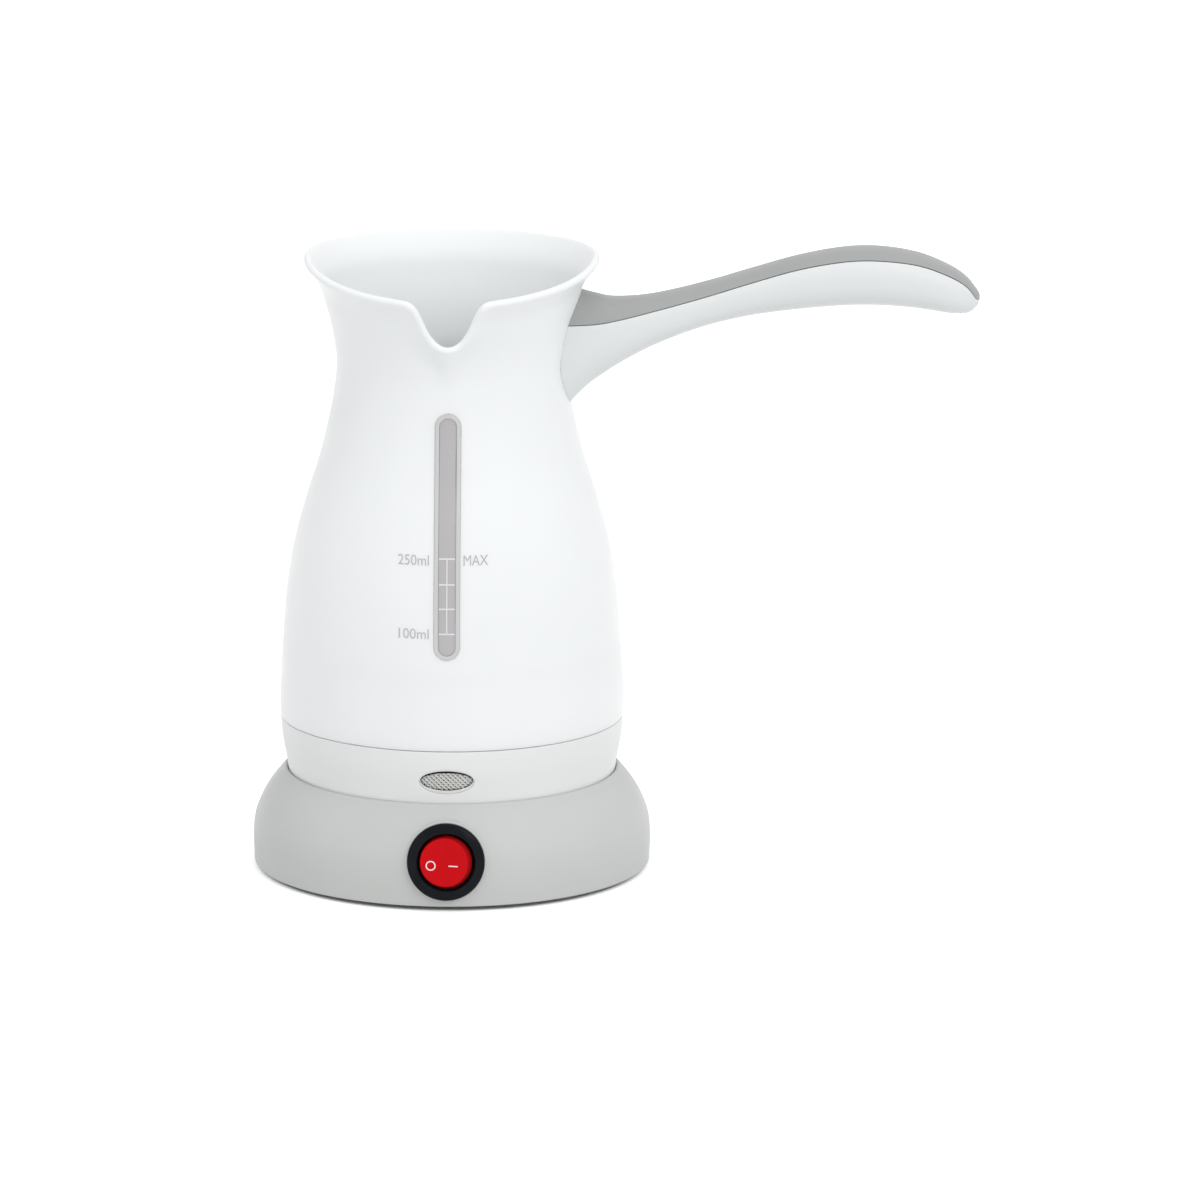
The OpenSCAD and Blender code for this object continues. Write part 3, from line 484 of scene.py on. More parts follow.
# Half of the pour notch before the rim dips: millimetres from the middle, and share of the depth
NOTCH_HALF = [(0, 0), (2.6, 0.035), (4.9, 0.155), (6.7, 0.36), (8.0, 0.585), (9.0, 0.775), (10.1, 0.915),
              (11.8, 0.985), (14.5, 1), (19, 1)]


def rim_curve():
    """The pot's edge all round as (turn, height), closer together at the notch."""
    half = [(u * MM / RIM_R, LIP_END_Z - (1 - share) * NOTCH_DEPTH) for u, share in NOTCH_HALF]
    notch = smooth([(-turn, height) for turn, height in half[:0:-1]] + half, NOTCH_STEPS)
    back = [math.pi * k / BACK_STEPS for k in range(BACK_STEPS + 1)]
    right = [(turn, LIP_END_Z) for turn in back if turn > half[-1][0]]
    left = [(-turn, height) for turn, height in right[::-1]]
    path = left + notch + right
    walked = [0]
    for (a, low), (b, high) in zip(path, path[1:]):
        weight = 1 + CROWDING * ease((CROWD_FROM - abs(a)) / CROWD_OVER)
        walked.append(walked[-1] + weight * math.hypot((b - a) * RIM_R, high - low))
    pairs = [(turn, height, way) for (turn, height), way in zip(path, walked)]
    even = [walked[-1] * k / POT_COLUMNS for k in range(POT_COLUMNS + 1)]
    return [(lookup(pairs, way, 0, 2), lookup(pairs, way, 1, 2)) for way in even]


def pot_point(turn, height):
    """A point of the pot's outside, with its dip and its beak."""
    z = height - dip(turn, height)
    rise = ease((z - BEAK_FROM) / (BEAK_TO - BEAK_FROM))
    breadth = (BEAK_FOOT + BEAK_SPREAD * rise) * MM
    radius = pot_radius(height)
    across = radius * math.sin(turn)
    if math.cos(turn) > 0:
        radius += BEAK_OUT * rise * math.exp(-(across / breadth) ** 2)
    return radius * math.sin(turn), -radius * math.cos(turn), z


def pot_column(rim, i):
    """The turns and heights of one column of the pot's side, from the seam to the edge."""
    turn, height = rim[i]
    before, after = rim[max(i - 1, 0)], rim[min(i + 1, POT_COLUMNS)]
    along = Vector(((after[0] - before[0]) * RIM_R, after[1] - before[1])).normalized()
    inward = Vector((along.y / RIM_R, -along.x))
    near = [(turn + d * inward.x, height + d * inward.y) for d in EDGE_ROWS]
    low_turn = 0.5 * turn + 0.5 * math.pi * (2 * i / POT_COLUMNS - 1)
    count = POT_ROWS - len(EDGE_ROWS) + 1
    shares = [1 - (1 - j / count) ** ROW_CROWDING for j in range(count)]
    return share_points(zip(shares, shares), (low_turn, SEAM_Z), near[-1]) + near[::-1]


def pot_sheet():
    """The pot's outer face: a grid that is wrapped round the axis."""
    rim = rim_curve()
    columns = [pot_column(rim, i) for i in range(POT_COLUMNS + 1)]
    sheet = grid("pot_shell", POT_COLUMNS, POT_ROWS, lambda i, j: pot_point(*columns[i][j]))
    merge(sheet)
    return sheet


def inside_radius(z):
    return pot_radius(z) - WALL


def pot_fittings():
    """The shelf, bosses and pillars inside the pot, and the tongue that holds the handle."""
    shelf_out = inside_radius(SHELF_Z) + 0.8 * MM
    shelf_top, post_top = SHELF_Z + SHELF_T, SHELF_Z + 1 * MM
    shelf = turned("shelf", [
        (SHELF_R, SHELF_Z), (shelf_out, SHELF_Z), (shelf_out, shelf_top), (SHELF_R, shelf_top)])
    round_edges(shelf, 0.4 * MM)
    ears = posts("ear", SCREW_ANGLES, PILLAR_RING, SHELF_Z - 1.5 * MM, post_top, 3 * MM)
    pillars = posts("pillar", PILLAR_ANGLES, PILLAR_RING, PILLAR_LOW, post_top, 3 * MM)
    tongue = block("tongue", (NECK_R, -5 * MM, HANDLE_Z - 3.5 * MM), (56 * MM, 5 * MM, HANDLE_Z))
    round_edges(tongue, 0.5 * MM)
    return [shelf] + ears + pillars + [tongue]


def make_pot():
    """The white body with its rolled rim, the slot for the window and what the wall carries inside."""
    pot = pot_sheet()
    modify(pot, "SOLIDIFY", thickness=WALL, offset=-1, use_even_offset=True, use_rim=True)
    round_edges(pot, 0.46 * WALL, segments=4, chosen=lambda edge: middle(edge).z > NECK_Z)
    round_edges(pot, 0.2 * MM, segments=2, chosen=lambda edge: middle(edge).z < SEAM_Z + 1 * MM)
    slot = stadium("slot", WINDOW_W, WINDOW_LOW, WINDOW_HIGH)
    extrude_all(slot, 40 * MM)
    reshape(slot, stand_up)
    tidy(placed(slot, shift(0, -20 * MM, 0)))
    combine(pot, slot)
    joined(pot, pot_fittings())
    return shade(pot)


# ---- Level window ----


def cut_across(piece, place, way, chosen=every):
    """Cuts the chosen faces along a plane."""
    pick(piece, "FACE", chosen)
    bpy.ops.mesh.bisect(plane_co=place, plane_no=way)
    leave()


def cut_along(piece, low, high):
    """Cuts a long flat piece across so that it can bend."""
    for k in range(1, WINDOW_CUTS):
        height = low + (high - low) * k / WINDOW_CUTS
        cut_across(piece, (0, height, 0), (0, 1, 0), lambda face: len(face.verts) > 4)


def bend_onto_pot(piece, lift):
    """Moves a flat piece out by a distance and bends it onto the front of the pot."""
    reshape(placed(piece, shift(0, 0, lift)), on_front)
    return shade(tidy(piece))


def thicken_back(piece, depth):
    """Closes a flat piece with walls and a back."""
    pick(piece, "EDGE", lambda edge: edge.is_boundary)
    extrude(-depth)
    bpy.ops.mesh.edge_face_add()
    leave()


def window_plate(name, margin, depth, lift, *steps):
    """A plate in the window's shape less a margin, inset step by step and bent onto the pot."""
    low, high = WINDOW_LOW + margin, WINDOW_HIGH - margin
    plate = stadium(name, WINDOW_W - 2 * margin, low, high)
    pick(plate, "FACE")
    inset_steps(*steps)
    leave()
    cut_along(plate, low, high)
    thicken_back(plate, depth)
    crown = steps[0][1]
    return bend_onto_pot(plate, lift - crown)


def make_window_frame():
    """The light border of the level window, which stands a little proud, with a step for the pane."""
    return window_plate(
        "level_window_border", WINDOW_GAP, 2.6 * MM, WINDOW_PROUD,
        (0.2 * MM, 0.18 * MM), (WINDOW_BORDER - 0.38 * MM, 0), (0.12 * MM, -0.08 * MM), (HAIR, -0.6 * MM))


def make_pane():
    """The smoked pane that lies in the border."""
    margin = WINDOW_GAP + WINDOW_BORDER
    return window_plate("level_window_pane", margin, 0.3 * MM, PANE_LIFT, (0.1 * MM, 0.05 * MM))


def bar(low, high, cuts):
    """A printed bar between two flat corners, cut along its length so that it can bend."""
    piece = block("level_scale", (*low, 0), (*high, MARK_T))
    longest = max(high[0] - low[0], high[1] - low[1])
    pick(piece, "EDGE", lambda edge: edge.calc_length() > 0.9 * longest)
    bpy.ops.mesh.subdivide(number_cuts=cuts)
    leave()
    return piece


def make_scale():
    """The ladder of level marks printed on the window."""
    half = WINDOW_W / 2 - WINDOW_BORDER - 0.25 * MM
    line = 0.23 * MM
    spine = bar((-0.8 * line, LEVELS[-1]), (0.8 * line, LEVELS[0]), 16)
    bars = [bar((-half, z - line), (half, z + line), 8) for z in LEVELS]
    return bend_onto_pot(joined(spine, bars), PANE_LIFT - HAIR)


def label(words, left, z, width):
    """Generic printed level words on the pot's front."""
    bpy.ops.object.text_add(location=(0, 0, 0))
    text = bpy.context.object
    text.data.body = words
    text.data.size = LABEL_H / CAPITAL_SHARE
    text.data.extrude = MARK_T / 2
    text.data.resolution_u = 4
    bpy.ops.object.convert(target="MESH")
    piece = named("level_words")
    across = [corner.co.x for corner in piece.data.vertices]
    start = min(across)
    squeeze = width / (max(across) - start)
    reshape(piece, lambda p: ((p.x - start) * squeeze + left, p.y + z - LABEL_H / 2, p.z + HAIR))
    reshape(piece, on_front)
    return tidy(piece)


def make_labels():
    """The level words beside the window."""
    labels = [
        label("250ml", -14.45 * MM, LEVELS[0] - 0.45 * MM, 9.1 * MM),
        label("MAX", 4.85 * MM, LEVELS[0] - 0.4 * MM, 7.2 * MM),
        label("100ml", -14.2 * MM, LEVELS[3], 8.9 * MM),
    ]
    return joined(labels[0], labels[1:])


# ---- Lower housing and lamp lens ----


def oval(name, width, height, low, high):
    """An oval prism between two heights, before it is stood up or wrapped onto the front."""
    bpy.ops.mesh.primitive_cylinder_add(vertices=96, radius=0.5, depth=1)
    piece = named(name)
    reshape(piece, lambda p: (p.x * width, p.y * height, low + (p.z + 0.5) * (high - low)))
    return piece


def at_lens_edge(edge):
    """Whether an edge runs round the lens's hole on the outside."""
    spot = middle(edge)
    inside = abs(spot.x) < LENS_W / 2 + HAIR and abs(spot.z - LENS_Z) < LENS_H / 2 + HAIR
    return inside and spot.y < 0 and spot.xy.length > pot_radius(spot.z) - 0.4 * MM


def make_skirt():
    """The white lower housing with its floor, seam tongue, key notches and lamp hole."""
    floor_low, floor_top = SEAT_H + 1 * MM, SEAT_H + 3.2 * MM
    tongue = inside_radius(SEAM_Z) - 0.1 * MM
    inner = [point for point in inset(SKIRT_LINE, WALL) if floor_top < point[1] < SEAM_Z - 4.2 * MM]
    tongue_in, tongue_top = tongue - 1.8 * MM, SEAM_Z + 3 * MM
    groove_z = SEAM_Z - 0.2 * MM
    socket_r = 17.2 * MM
    outline = SKIRT_LINE[:-1] + [
        (SKIRT_LINE[-1][0], groove_z), (tongue, groove_z), (tongue, tongue_top), (tongue_in, tongue_top),
        (tongue_in, SEAM_Z - 4 * MM)]
    outline += inner[::-1] + [
        (inside_radius(floor_top), floor_top), (socket_r, floor_top), (socket_r, floor_low),
        (inside_radius(floor_low), floor_low), (SKIRT_R - WALL, FOOT_Z)]
    skirt = turned("lower_housing_shell", outline)
    round_edges(skirt, 0.3 * MM, sharpness=60, segments=2)
    low = (RECESS_R - 3 * MM, -1.3 * MM, SEAT_H - 1 * MM)
    high = (RECESS_R + 1 * MM, 1.3 * MM, SEAT_H + 2.1 * MM)
    notches = [placed(block("notch", low, high), rotation(angle, "Z")) for angle in KEY_ANGLES]
    combine(skirt, joined(notches[0], notches[1:]))
    hole = oval("lens_hole", LENS_W, LENS_H, 30 * MM, 60 * MM)
    reshape(placed(hole, shift(0, LENS_Z, 0)), stand_up)
    tidy(hole)
    combine(skirt, hole)
    round_edges(skirt, 0.15 * MM, sharpness=55, segments=2, chosen=at_lens_edge)
    joined(skirt, posts("boss", PILLAR_ANGLES, PILLAR_RING, floor_low, PILLAR_LOW - PART_GAP, 4 * MM))
    return shade(skirt)


def coat(piece, *finishes):
    """Gives a piece its materials."""
    piece.data.materials.clear()
    for finish in finishes:
        piece.data.materials.append(finish)


def two_finishes(piece, main, other, is_other):
    """Two materials on one piece, told apart face by face."""
    coat(piece, main, other)
    for face in piece.data.polygons:
        face.material_index = 1 if is_other(face) else 0


def in_shaded_gap(face):
    """Whether a face of the lens's rim lies in the gap round the pyramids, where it gets a near-black
    painted shade.
    """
    deep = looks_up(face) and face.center.z < -1 * MM
    wall = abs(face.normal.z) < 0.5 and face.normal.dot(face.center) < 0
    return deep or wall


def make_lens():
    """The lens's oval plate of small pyramids on the slant, a little way back in its hole."""
    bpy.ops.mesh.primitive_grid_add(
        x_subdivisions=PRISM_COUNT, y_subdivisions=PRISM_COUNT, size=PRISM_COUNT * PRISM_CELL)
    plate = placed(named("lamp_lens_prisms"), rotation(45, "Z"))
    enter(plate)
    bpy.ops.mesh.poke(offset=PRISM_RISE)
    bpy.ops.mesh.select_all(action="SELECT")
    extrude(-1.6 * MM)
    bpy.ops.transform.resize(value=(1, 1, 0))
    bpy.ops.transform.translate(value=(0, 0, -0.8 * MM))
    leave()
    tidy(plate)
    combine(plate, oval("lens_edge", LENS_W - 0.8 * MM, LENS_H - 2.5 * MM, -5 * MM, 5 * MM), "INTERSECT")
    reshape(placed(plate, shift(0, LENS_Z - 0.05 * MM, -LENS_BACK - PRISM_RISE)), on_front)
    tidy(plate)
    # Facets that face down and to the left get a dark copy of the lens's colour as painted shade; the
    # others keep the plain lens colour.
    two_finishes(plate, LENS, LENS_SHADE, lambda face: face.normal.x + face.normal.z < -0.6)
    return plate


def make_lens_frame():
    """The lens's smooth rim, which fits the oval hole and leaves a gap round the pyramids, whose faces are
    coloured near black as painted shade.
    """
    rim = oval("lamp_lens_rim", LENS_W - 0.1 * MM, LENS_H - 0.1 * MM, -2.4 * MM, -0.08 * MM)
    pick(rim, "FACE", looks_up)
    inset_steps((0.08 * MM, 0.08 * MM), (0.05 * MM, 0))
    bpy.ops.transform.resize(value=(*LENS_HOLE_SHARE, 1))
    bpy.ops.transform.translate(value=(0, 0.3 * MM, 0))
    inset_steps((HAIR, -1.3 * MM))
    leave()
    modify(rim, "TRIANGULATE")
    # The gap's faces get a near-black material: painted shade of the dark inside.
    two_finishes(rim, LENS, LENS_GAP_PAINTED_SHADE, in_shaded_gap)
    return bend_onto_pot(placed(rim, shift(0, LENS_Z, 0)), -0.3 * MM)


# ---- Power base ----


def make_base():
    """The domed grey shell with its recess, deck, keys, switch pad and cord hole."""
    inner = [point for point in inset(DOME_LINE, BASE_WALL) if point[1] < DECK_LOW]
    outline = DOME_LINE + [
        (RECESS_R + 0.12 * MM, BASE_H - 0.15 * MM), (RECESS_R, BASE_H - 0.5 * MM), (RECESS_R, SEAT_H),
        (SEAT_IN_R, SEAT_H), (SEAT_IN_R, DECK_TOP), (SOCKET_GAP_R, DECK_TOP), (SOCKET_GAP_R, DECK_LOW),
        (lookup(inner, DECK_LOW), DECK_LOW)] + inner[::-1]
    base = turned("base_dome", outline, 160)
    round_edges(base, 0.45 * MM, sharpness=60,
                chosen=lambda edge: middle(edge).z < 2 * MM or middle(edge).z > DECK_LOW + 1 * MM)
    pad = post("pad", 0, 0, -6 * MM, 0, BEZEL_R + 0.5 * MM, 96)
    round_edges(pad, 0.4 * MM, chosen=lambda edge: middle(edge).z > -1 * MM)
    combine(base, placed(pad, SWITCH_PLACE), "UNION")
    barrel = post("barrel_hole", 0, 0, -12 * MM, 2 * MM, BARREL_R + 0.15 * MM, 96)
    combine(base, placed(barrel, SWITCH_PLACE))
    gland = post("gland_hole", 0, 0, -8 * MM, 2 * MM, GLAND_R + PART_GAP)
    combine(base, placed(gland, shift(0, BASE_R, GLAND_Z) @ rotation(-90, "X")))
    ribs = posts("screw_boss", SCREW_ANGLES, SCREW_RING, 4.2 * MM, DECK_LOW + 1 * MM, 3.5 * MM)
    low = (RECESS_R - 2.7 * MM, -1 * MM, SEAT_H - 0.5 * MM)
    high = (RECESS_R + 0.2 * MM, 1 * MM, SEAT_H + 1.8 * MM)
    for angle in KEY_ANGLES:
        key = block("key", low, high)
        round_edges(key, 0.25 * MM, segments=2)
        ribs.append(placed(key, rotation(angle, "Z")))
    joined(base, ribs)
    return shade(base, 35)


# Millimetres in from the bezel's edge, and height
BEZEL_PROFILE = [(0, 0.05), (0, 0.85), (0.12, 1.25), (0.45, 1.55), (1.2, 1.85), (2.1, 2.15), (2.5, 2.2),
                 (2.85, 2.05), (3.1, 1.5), (3.38, 0.7)]


def make_bezel():
    """The glossy black switch housing: a rounded bezel that slopes into its well, and the barrel behind."""
    profile = [(BEZEL_R - step * MM, z * MM) for step, z in smooth(BEZEL_PROFILE, 3)]
    well, floor = ROCKER_R + 0.1 * MM, -13 * MM
    outline = profile + [
        (well, 0.4 * MM), (well, floor), (0, floor), (0, -BARREL_LEN), (BARREL_R, -BARREL_LEN),
        (BARREL_R, 0.05 * MM)]
    return shade(placed(turned("switch_bezel", outline, 96), SWITCH_PLACE))


def rocker_face(x):
    """The height of the rocker's face across its two slopes, which meet in a soft valley."""
    return ROCKER_TOP + ROCKER_SLOPE * abs(x) + 0.1 * MM * ease(1 - abs(x) / (1 * MM))


def make_rocker():
    """The red rocker: two slopes that meet in a soft valley, with a rounded edge; its side walls get a
    darker red as painted shade.
    """
    rocker = post("rocker_button", 0, 0, -4 * MM, ROCKER_TOP, ROCKER_R, 96)
    cut_across(rocker, (0, 0, 0.4 * MM), (0, 0, 1))
    pick(rocker, "FACE", looks_up)
    inset_steps((0.3 * MM, 0), (0.5 * MM, 0))
    leave()
    for x in (-0.5 * MM, 0, 0.5 * MM):
        cut_across(rocker, (x, 0, 0), (1, 0, 0), looks_up)

    def place(point):
        if point.z < 1 * MM:
            share = 1 if point.z > 0 else ROCKER_TAPER
            return share * point.x, share * point.y, point.z
        edge = 0.12 * MM if point.xy.length > ROCKER_R - 0.1 * MM else 0
        x, y = ROCKER_DRAFT * point.x, ROCKER_DRAFT * point.y
        return x, y, rocker_face(x) - edge

    reshape(rocker, place)
    round_edges(rocker, 0.1 * MM, sharpness=35, segments=2, chosen=lambda edge: middle(edge).z > 1 * MM)
    stem = post("stem", 0, 0, -6 * MM, -3.9 * MM, 2.4 * MM)
    pin = placed(post("pin", 0, 0, -9 * MM, 9 * MM, 0.36 * MM, 24), rotation(90, "X"))
    joined(rocker, [stem, pin])
    # The side walls get a darker copy of the red: painted shade.
    two_finishes(rocker, RED, RED_SIDE_PAINTED_SHADE, lambda face: face.normal.z <= 0.6)
    return shade(placed(rocker, ROCKER_PLACE))


def make_marks():
    """The plain O and bar that show off and on, moulded into the rocker's face."""
    bpy.ops.mesh.primitive_circle_add(
        vertices=48, radius=1.45 * MM, fill_type="NGON", location=(-4 * MM, 0, 0))
    ring = named("switch_marks")
    pick(ring, "FACE")
    inset_steps((0.33 * MM, 0))
    bpy.ops.mesh.delete(type="FACE")
    leave()
    extrude_all(ring, MARK_T)
    line = block("on_bar", (1.3 * MM, -0.16 * MM, 0), (4.2 * MM, 0.16 * MM, MARK_T))
    marks = joined(ring, [line])
    reshape(marks, lambda p: (p.x, p.y - MARK_DROP, p.z + rocker_face(p.x) - 0.01 * MM))
    return tidy(placed(marks, ROCKER_PLACE))


def make_gland():
    """The cord gland: a flanged grommet with rounded edges."""
    flange_r, ring_r = GLAND_R + 1.4 * MM, GLAND_R + 0.8 * MM
    face, end = -1.6 * MM, BASE_WALL + 4 * MM
    ring_low, ring_high = BASE_WALL + 1.6 * MM, BASE_WALL + 3.2 * MM
    gland = turned("cord_grommet", [
        (CORD_R, face), (flange_r, face), (flange_r, 0), (GLAND_R, 0), (GLAND_R, ring_low),
        (ring_r, ring_low), (ring_r, ring_high), (GLAND_R, ring_high), (GLAND_R, end), (CORD_R, end)], 48)
    round_edges(gland, 0.3 * MM)
    return shade(placed(gland, shift(0, BASE_R + 0.14 * MM, GLAND_Z) @ rotation(90, "X")))


# ---- Handle ----

# Share of the length, height of the underside, of the parting line and of the top, and half width
STATIONS = [
    (0, -22.7, 1.65, 11.1, ROOT_W),
    (0.055, -16.3, 1.95, 9.8, 0.5 * (ROOT_W + SHANK_W)),
    (0.11, -11.4, 3.1, 8.9, 0.25 * ROOT_W + 0.75 * SHANK_W),
    (0.2, -5.4, 5.85, 9.8, SHANK_W),
    (0.32, 0.3, 10, 13.2, SHANK_W),
    (0.435, 3.8, 14.5, 17.3, 0.6 * SHANK_W + 0.4 * GRIP_W),
    (0.555, 5.9, 18.8, 21.5, 0.2 * SHANK_W + 0.8 * GRIP_W),
    (0.67, 7.1, 21.3, 24.07, GRIP_W),
    (0.76, 7.2, 21.5, 24.26, GRIP_W),
    (0.85, 6.3, 20, 22.5, GRIP_W - 0.6 * MM),
    (0.925, 4.9, 16.6, 18.9, GRIP_W - 2 * MM),
    (0.967, 4.8, 13.3, 15.6, 0.66 * GRIP_W),
    (0.99, 6.4, 9.6, 12.4, 0.42 * GRIP_W),
    (1, 8.2, 9.2, 10.6, 0.2 * GRIP_W),
]
HANDLE_LINE = smooth([(s, a * MM, b * MM, c * MM, w) for s, a, b, c, w in STATIONS], 5)
ARC_STEPS = 30
ROUND_POWER = 2 / 2.5
CUT_LIMIT = 0.97
PARTING_GAP = 0.25 * MM
BLEND_X = 46 * MM
ROOT_GAP = 0.03 * MM


def powered(value):
    """A sine or cosine raised so that the oval's sides are fuller than an ellipse's."""
    return math.copysign(abs(value) ** ROUND_POWER, value)


def oval_arc(width, height, cut, below):
    """A rounded oval from one end of the parting line to the other, below it or above it."""
    share = max(-CUT_LIMIT, min(CUT_LIMIT, cut / height))
    start = math.asin(math.copysign(abs(share) ** (1 / ROUND_POWER), share))
    sweep = -(math.pi + 2 * start) if below else math.pi - 2 * start
    turns = [start + sweep * k / ARC_STEPS for k in range(ARC_STEPS + 1)]
    return [(width * powered(math.cos(t)), height * powered(math.sin(t))) for t in turns]


def half_ring(station, below):
    """The wall of one half as a closed outline across the handle, as points of Y and Z."""
    _, low, parting, top, width = station
    centre, height = (low + top) / 2, (top - low) / 2
    cut = parting - centre + (0 if below else PARTING_GAP)
    in_width = max(width - HANDLE_WALL, 0.05 * width)
    in_height = max(height - HANDLE_WALL, 0.05 * height)
    outer = oval_arc(width, height, cut, below)
    inner = oval_arc(in_width, in_height, min(cut, 0.95 * in_height), below)
    return [(y, HANDLE_Z + centre + z) for y, z in outer + inner[::-1]]


def handle_x(x, y, z):
    """Close to the pot a point lies on the pot's side, and further out in its station's plane."""
    reach = pot_radius(z) + ROOT_GAP
    side = math.sqrt(reach * reach - y * y)
    share = (x - HANDLE_ROOT) / (BLEND_X - HANDLE_ROOT)
    return x if x >= BLEND_X else side + share * (BLEND_X - side)


def handle_half(name, below):
    """One half of the handle: a grid wrapped into a closed wall, with its two ends drawn together."""
    rings = [half_ring(station, below) for station in HANDLE_LINE]
    around_count = 2 * (ARC_STEPS + 1)
    last = len(rings) + 1

    def place(i, j):
        k = min(max(i - 1, 0), last - 2)
        j = j % around_count
        if i in (0, last) and j > ARC_STEPS:
            j = around_count - 1 - j
        y, z = rings[k][j]
        return handle_x(HANDLE_ROOT + HANDLE_LINE[k][0] * (HANDLE_REACH - HANDLE_ROOT), y, z), y, z

    half = grid(name, last, around_count, place)
    tidy(half)
    round_edges(half, 0.3 * MM, sharpness=60, segments=2)
    return shade(half)


# ---- Shader nodes ----


def feed(tree, target, inputs):
    """Gives a node its inputs. Each is a value, or a socket of another node."""
    for key, value in inputs.items():
        if isinstance(value, bpy.types.NodeSocket):
            tree.links.new(value, target.inputs[key])
        else:
            target.inputs[key].default_value = value


def node(tree, kind, inputs=None, **settings):
    """Adds a node with its settings and its inputs."""
    made = tree.nodes.new(kind)
    adjust(made, settings)
    feed(tree, made, inputs or {})
    return made


def place_of(tree):
    return node(tree, "ShaderNodeTexCoord").outputs["Object"]


def noise(tree, vector, scale, detail):
    return node(tree, "ShaderNodeTexNoise", {"Vector": vector, "Scale": scale, "Detail": detail}).outputs[0]


def ramp(tree, value, low, high, out_low=0.0, out_high=1.0):
    """Stretches the part of a value between low and high."""
    return node(tree, "ShaderNodeMapRange", {
        "Value": value, "From Min": low, "From Max": high, "To Min": out_low, "To Max": out_high,
    }).outputs[0]


def math_node(tree, operation, a, b):
    return node(tree, "ShaderNodeMath", {0: a, 1: b}, operation=operation).outputs[0]


def vector_node(tree, operation, *values):
    """The result of a vector operation, a vector or a plain number."""
    made = node(tree, "ShaderNodeVectorMath", dict(enumerate(values)), operation=operation)
    return made.outputs["Value" if operation in ("LENGTH", "DOT_PRODUCT") else "Vector"]


def blend_colour(tree, factor, a, b):
    return node(tree, "ShaderNodeMix", {0: factor, 6: a, 7: b}, data_type="RGBA").outputs[2]


def tree_of(owner):
    """The shader nodes of a material or of the world."""
    owner.use_nodes = True
    return owner.node_tree


FLOAT, COLOUR, VECTOR = "NodeSocketFloat", "NodeSocketColor", "NodeSocketVector"


def new_group(name, *inputs):
    """A node group with the inputs and the outputs that every finish has, and with some of its own."""
    tree = bpy.data.node_groups.new(name, "ShaderNodeTree")
    shared = (("Colour", COLOUR), ("Gloss", FLOAT), ("Dullness", FLOAT))
    for title, kind in shared + inputs:
        tree.interface.new_socket(title, in_out="INPUT", socket_type=kind)
    for title, kind in (("Colour", COLOUR), ("Roughness", FLOAT), ("Height", FLOAT)):
        tree.interface.new_socket(title, in_out="OUTPUT", socket_type=kind)
    return tree, tree.nodes.new("NodeGroupInput").outputs


def put_out(tree, given, colour, wear, low, high, height):
    """Puts out the colour, a roughness that goes from gloss to dullness with the wear, and the height."""
    rough = ramp(tree, wear, low, high, given["Gloss"], given["Dullness"])
    node(tree, "NodeGroupOutput", {"Colour": colour, "Roughness": rough, "Height": height})
    return tree


def moulded_group():
    """Moulded plastic: slow tone changes, handling marks in the gloss, and a fine grain."""
    tree, given = new_group(
        "moulded_surface", ("Deep colour", COLOUR), ("Tone scale", FLOAT), ("Grain scale", FLOAT))
    place = place_of(tree)
    tone = ramp(tree, noise(tree, place, given["Tone scale"], 3.0), 0.35, 0.65)
    colour = blend_colour(tree, tone, given["Deep colour"], given["Colour"])
    marks = ramp(tree, noise(tree, place, 90.0, 4.0), 0.42, 0.68)
    fine = noise(tree, place, given["Grain scale"], 2.0)
    wear = math_node(
        tree, "ADD", math_node(tree, "MULTIPLY", marks, 0.6), math_node(tree, "MULTIPLY", fine, 0.4))
    return put_out(tree, given, colour, wear, 0.0, 1.0, fine)


def scratched(tree, given, scratches, patch_scale, patch_from):
    """Puts out tarnished patches in the colour, and scratches in the gloss and the height."""
    patch = ramp(tree, noise(tree, place_of(tree), patch_scale, 3.0), patch_from, 0.7)
    colour = blend_colour(tree, patch, given["Colour"], given["Tarnish"])
    return put_out(tree, given, colour, scratches, 0.3, 0.7, scratches)


def metal_group():
    """Worked metal: fine streaks along one direction, with brighter and duller stretches."""
    tree, given = new_group("worked_metal", ("Tarnish", COLOUR), ("Streaks", VECTOR))
    stretched = vector_node(tree, "MULTIPLY", place_of(tree), given["Streaks"])
    return scratched(tree, given, noise(tree, stretched, 1.0, 3.0), 120.0, 0.4)


def ring_group():
    """Circular polish: fine rings round the Z axis."""
    tree, given = new_group("circular_polish", ("Tarnish", COLOUR), ("Rings", FLOAT))
    reach = vector_node(tree, "LENGTH", vector_node(tree, "MULTIPLY", place_of(tree), (1, 1, 0)))
    rings = node(tree, "ShaderNodeTexNoise", {
        "W": math_node(tree, "MULTIPLY", reach, given["Rings"]), "Scale": 1.0, "Detail": 3.0},
        noise_dimensions="1D").outputs[0]
    return scratched(tree, given, rings, 60.0, 0.45)


MOULDED, METAL, RINGS = moulded_group(), metal_group(), ring_group()


def tinted(colour, share):
    return (*(share * value for value in colour), 1)


def finish_from(name, group, colour, gloss, dullness, more, relief, depth, shader):
    """A material whose colour, gloss and relief come from a node group."""
    made = bpy.data.materials.new(name)
    tree = tree_of(made)
    values = {"Colour": tinted(colour, 1), "Gloss": gloss, "Dullness": dullness, **more}
    effect = node(tree, "ShaderNodeGroup", values, node_tree=group).outputs
    bump = node(tree, "ShaderNodeBump", {"Strength": relief, "Distance": depth, "Height": effect["Height"]})
    feed(tree, tree.nodes["Principled BSDF"], {
        "Base Color": effect["Colour"], "Roughness": effect["Roughness"], "Normal": bump.outputs["Normal"],
        **shader})
    return made


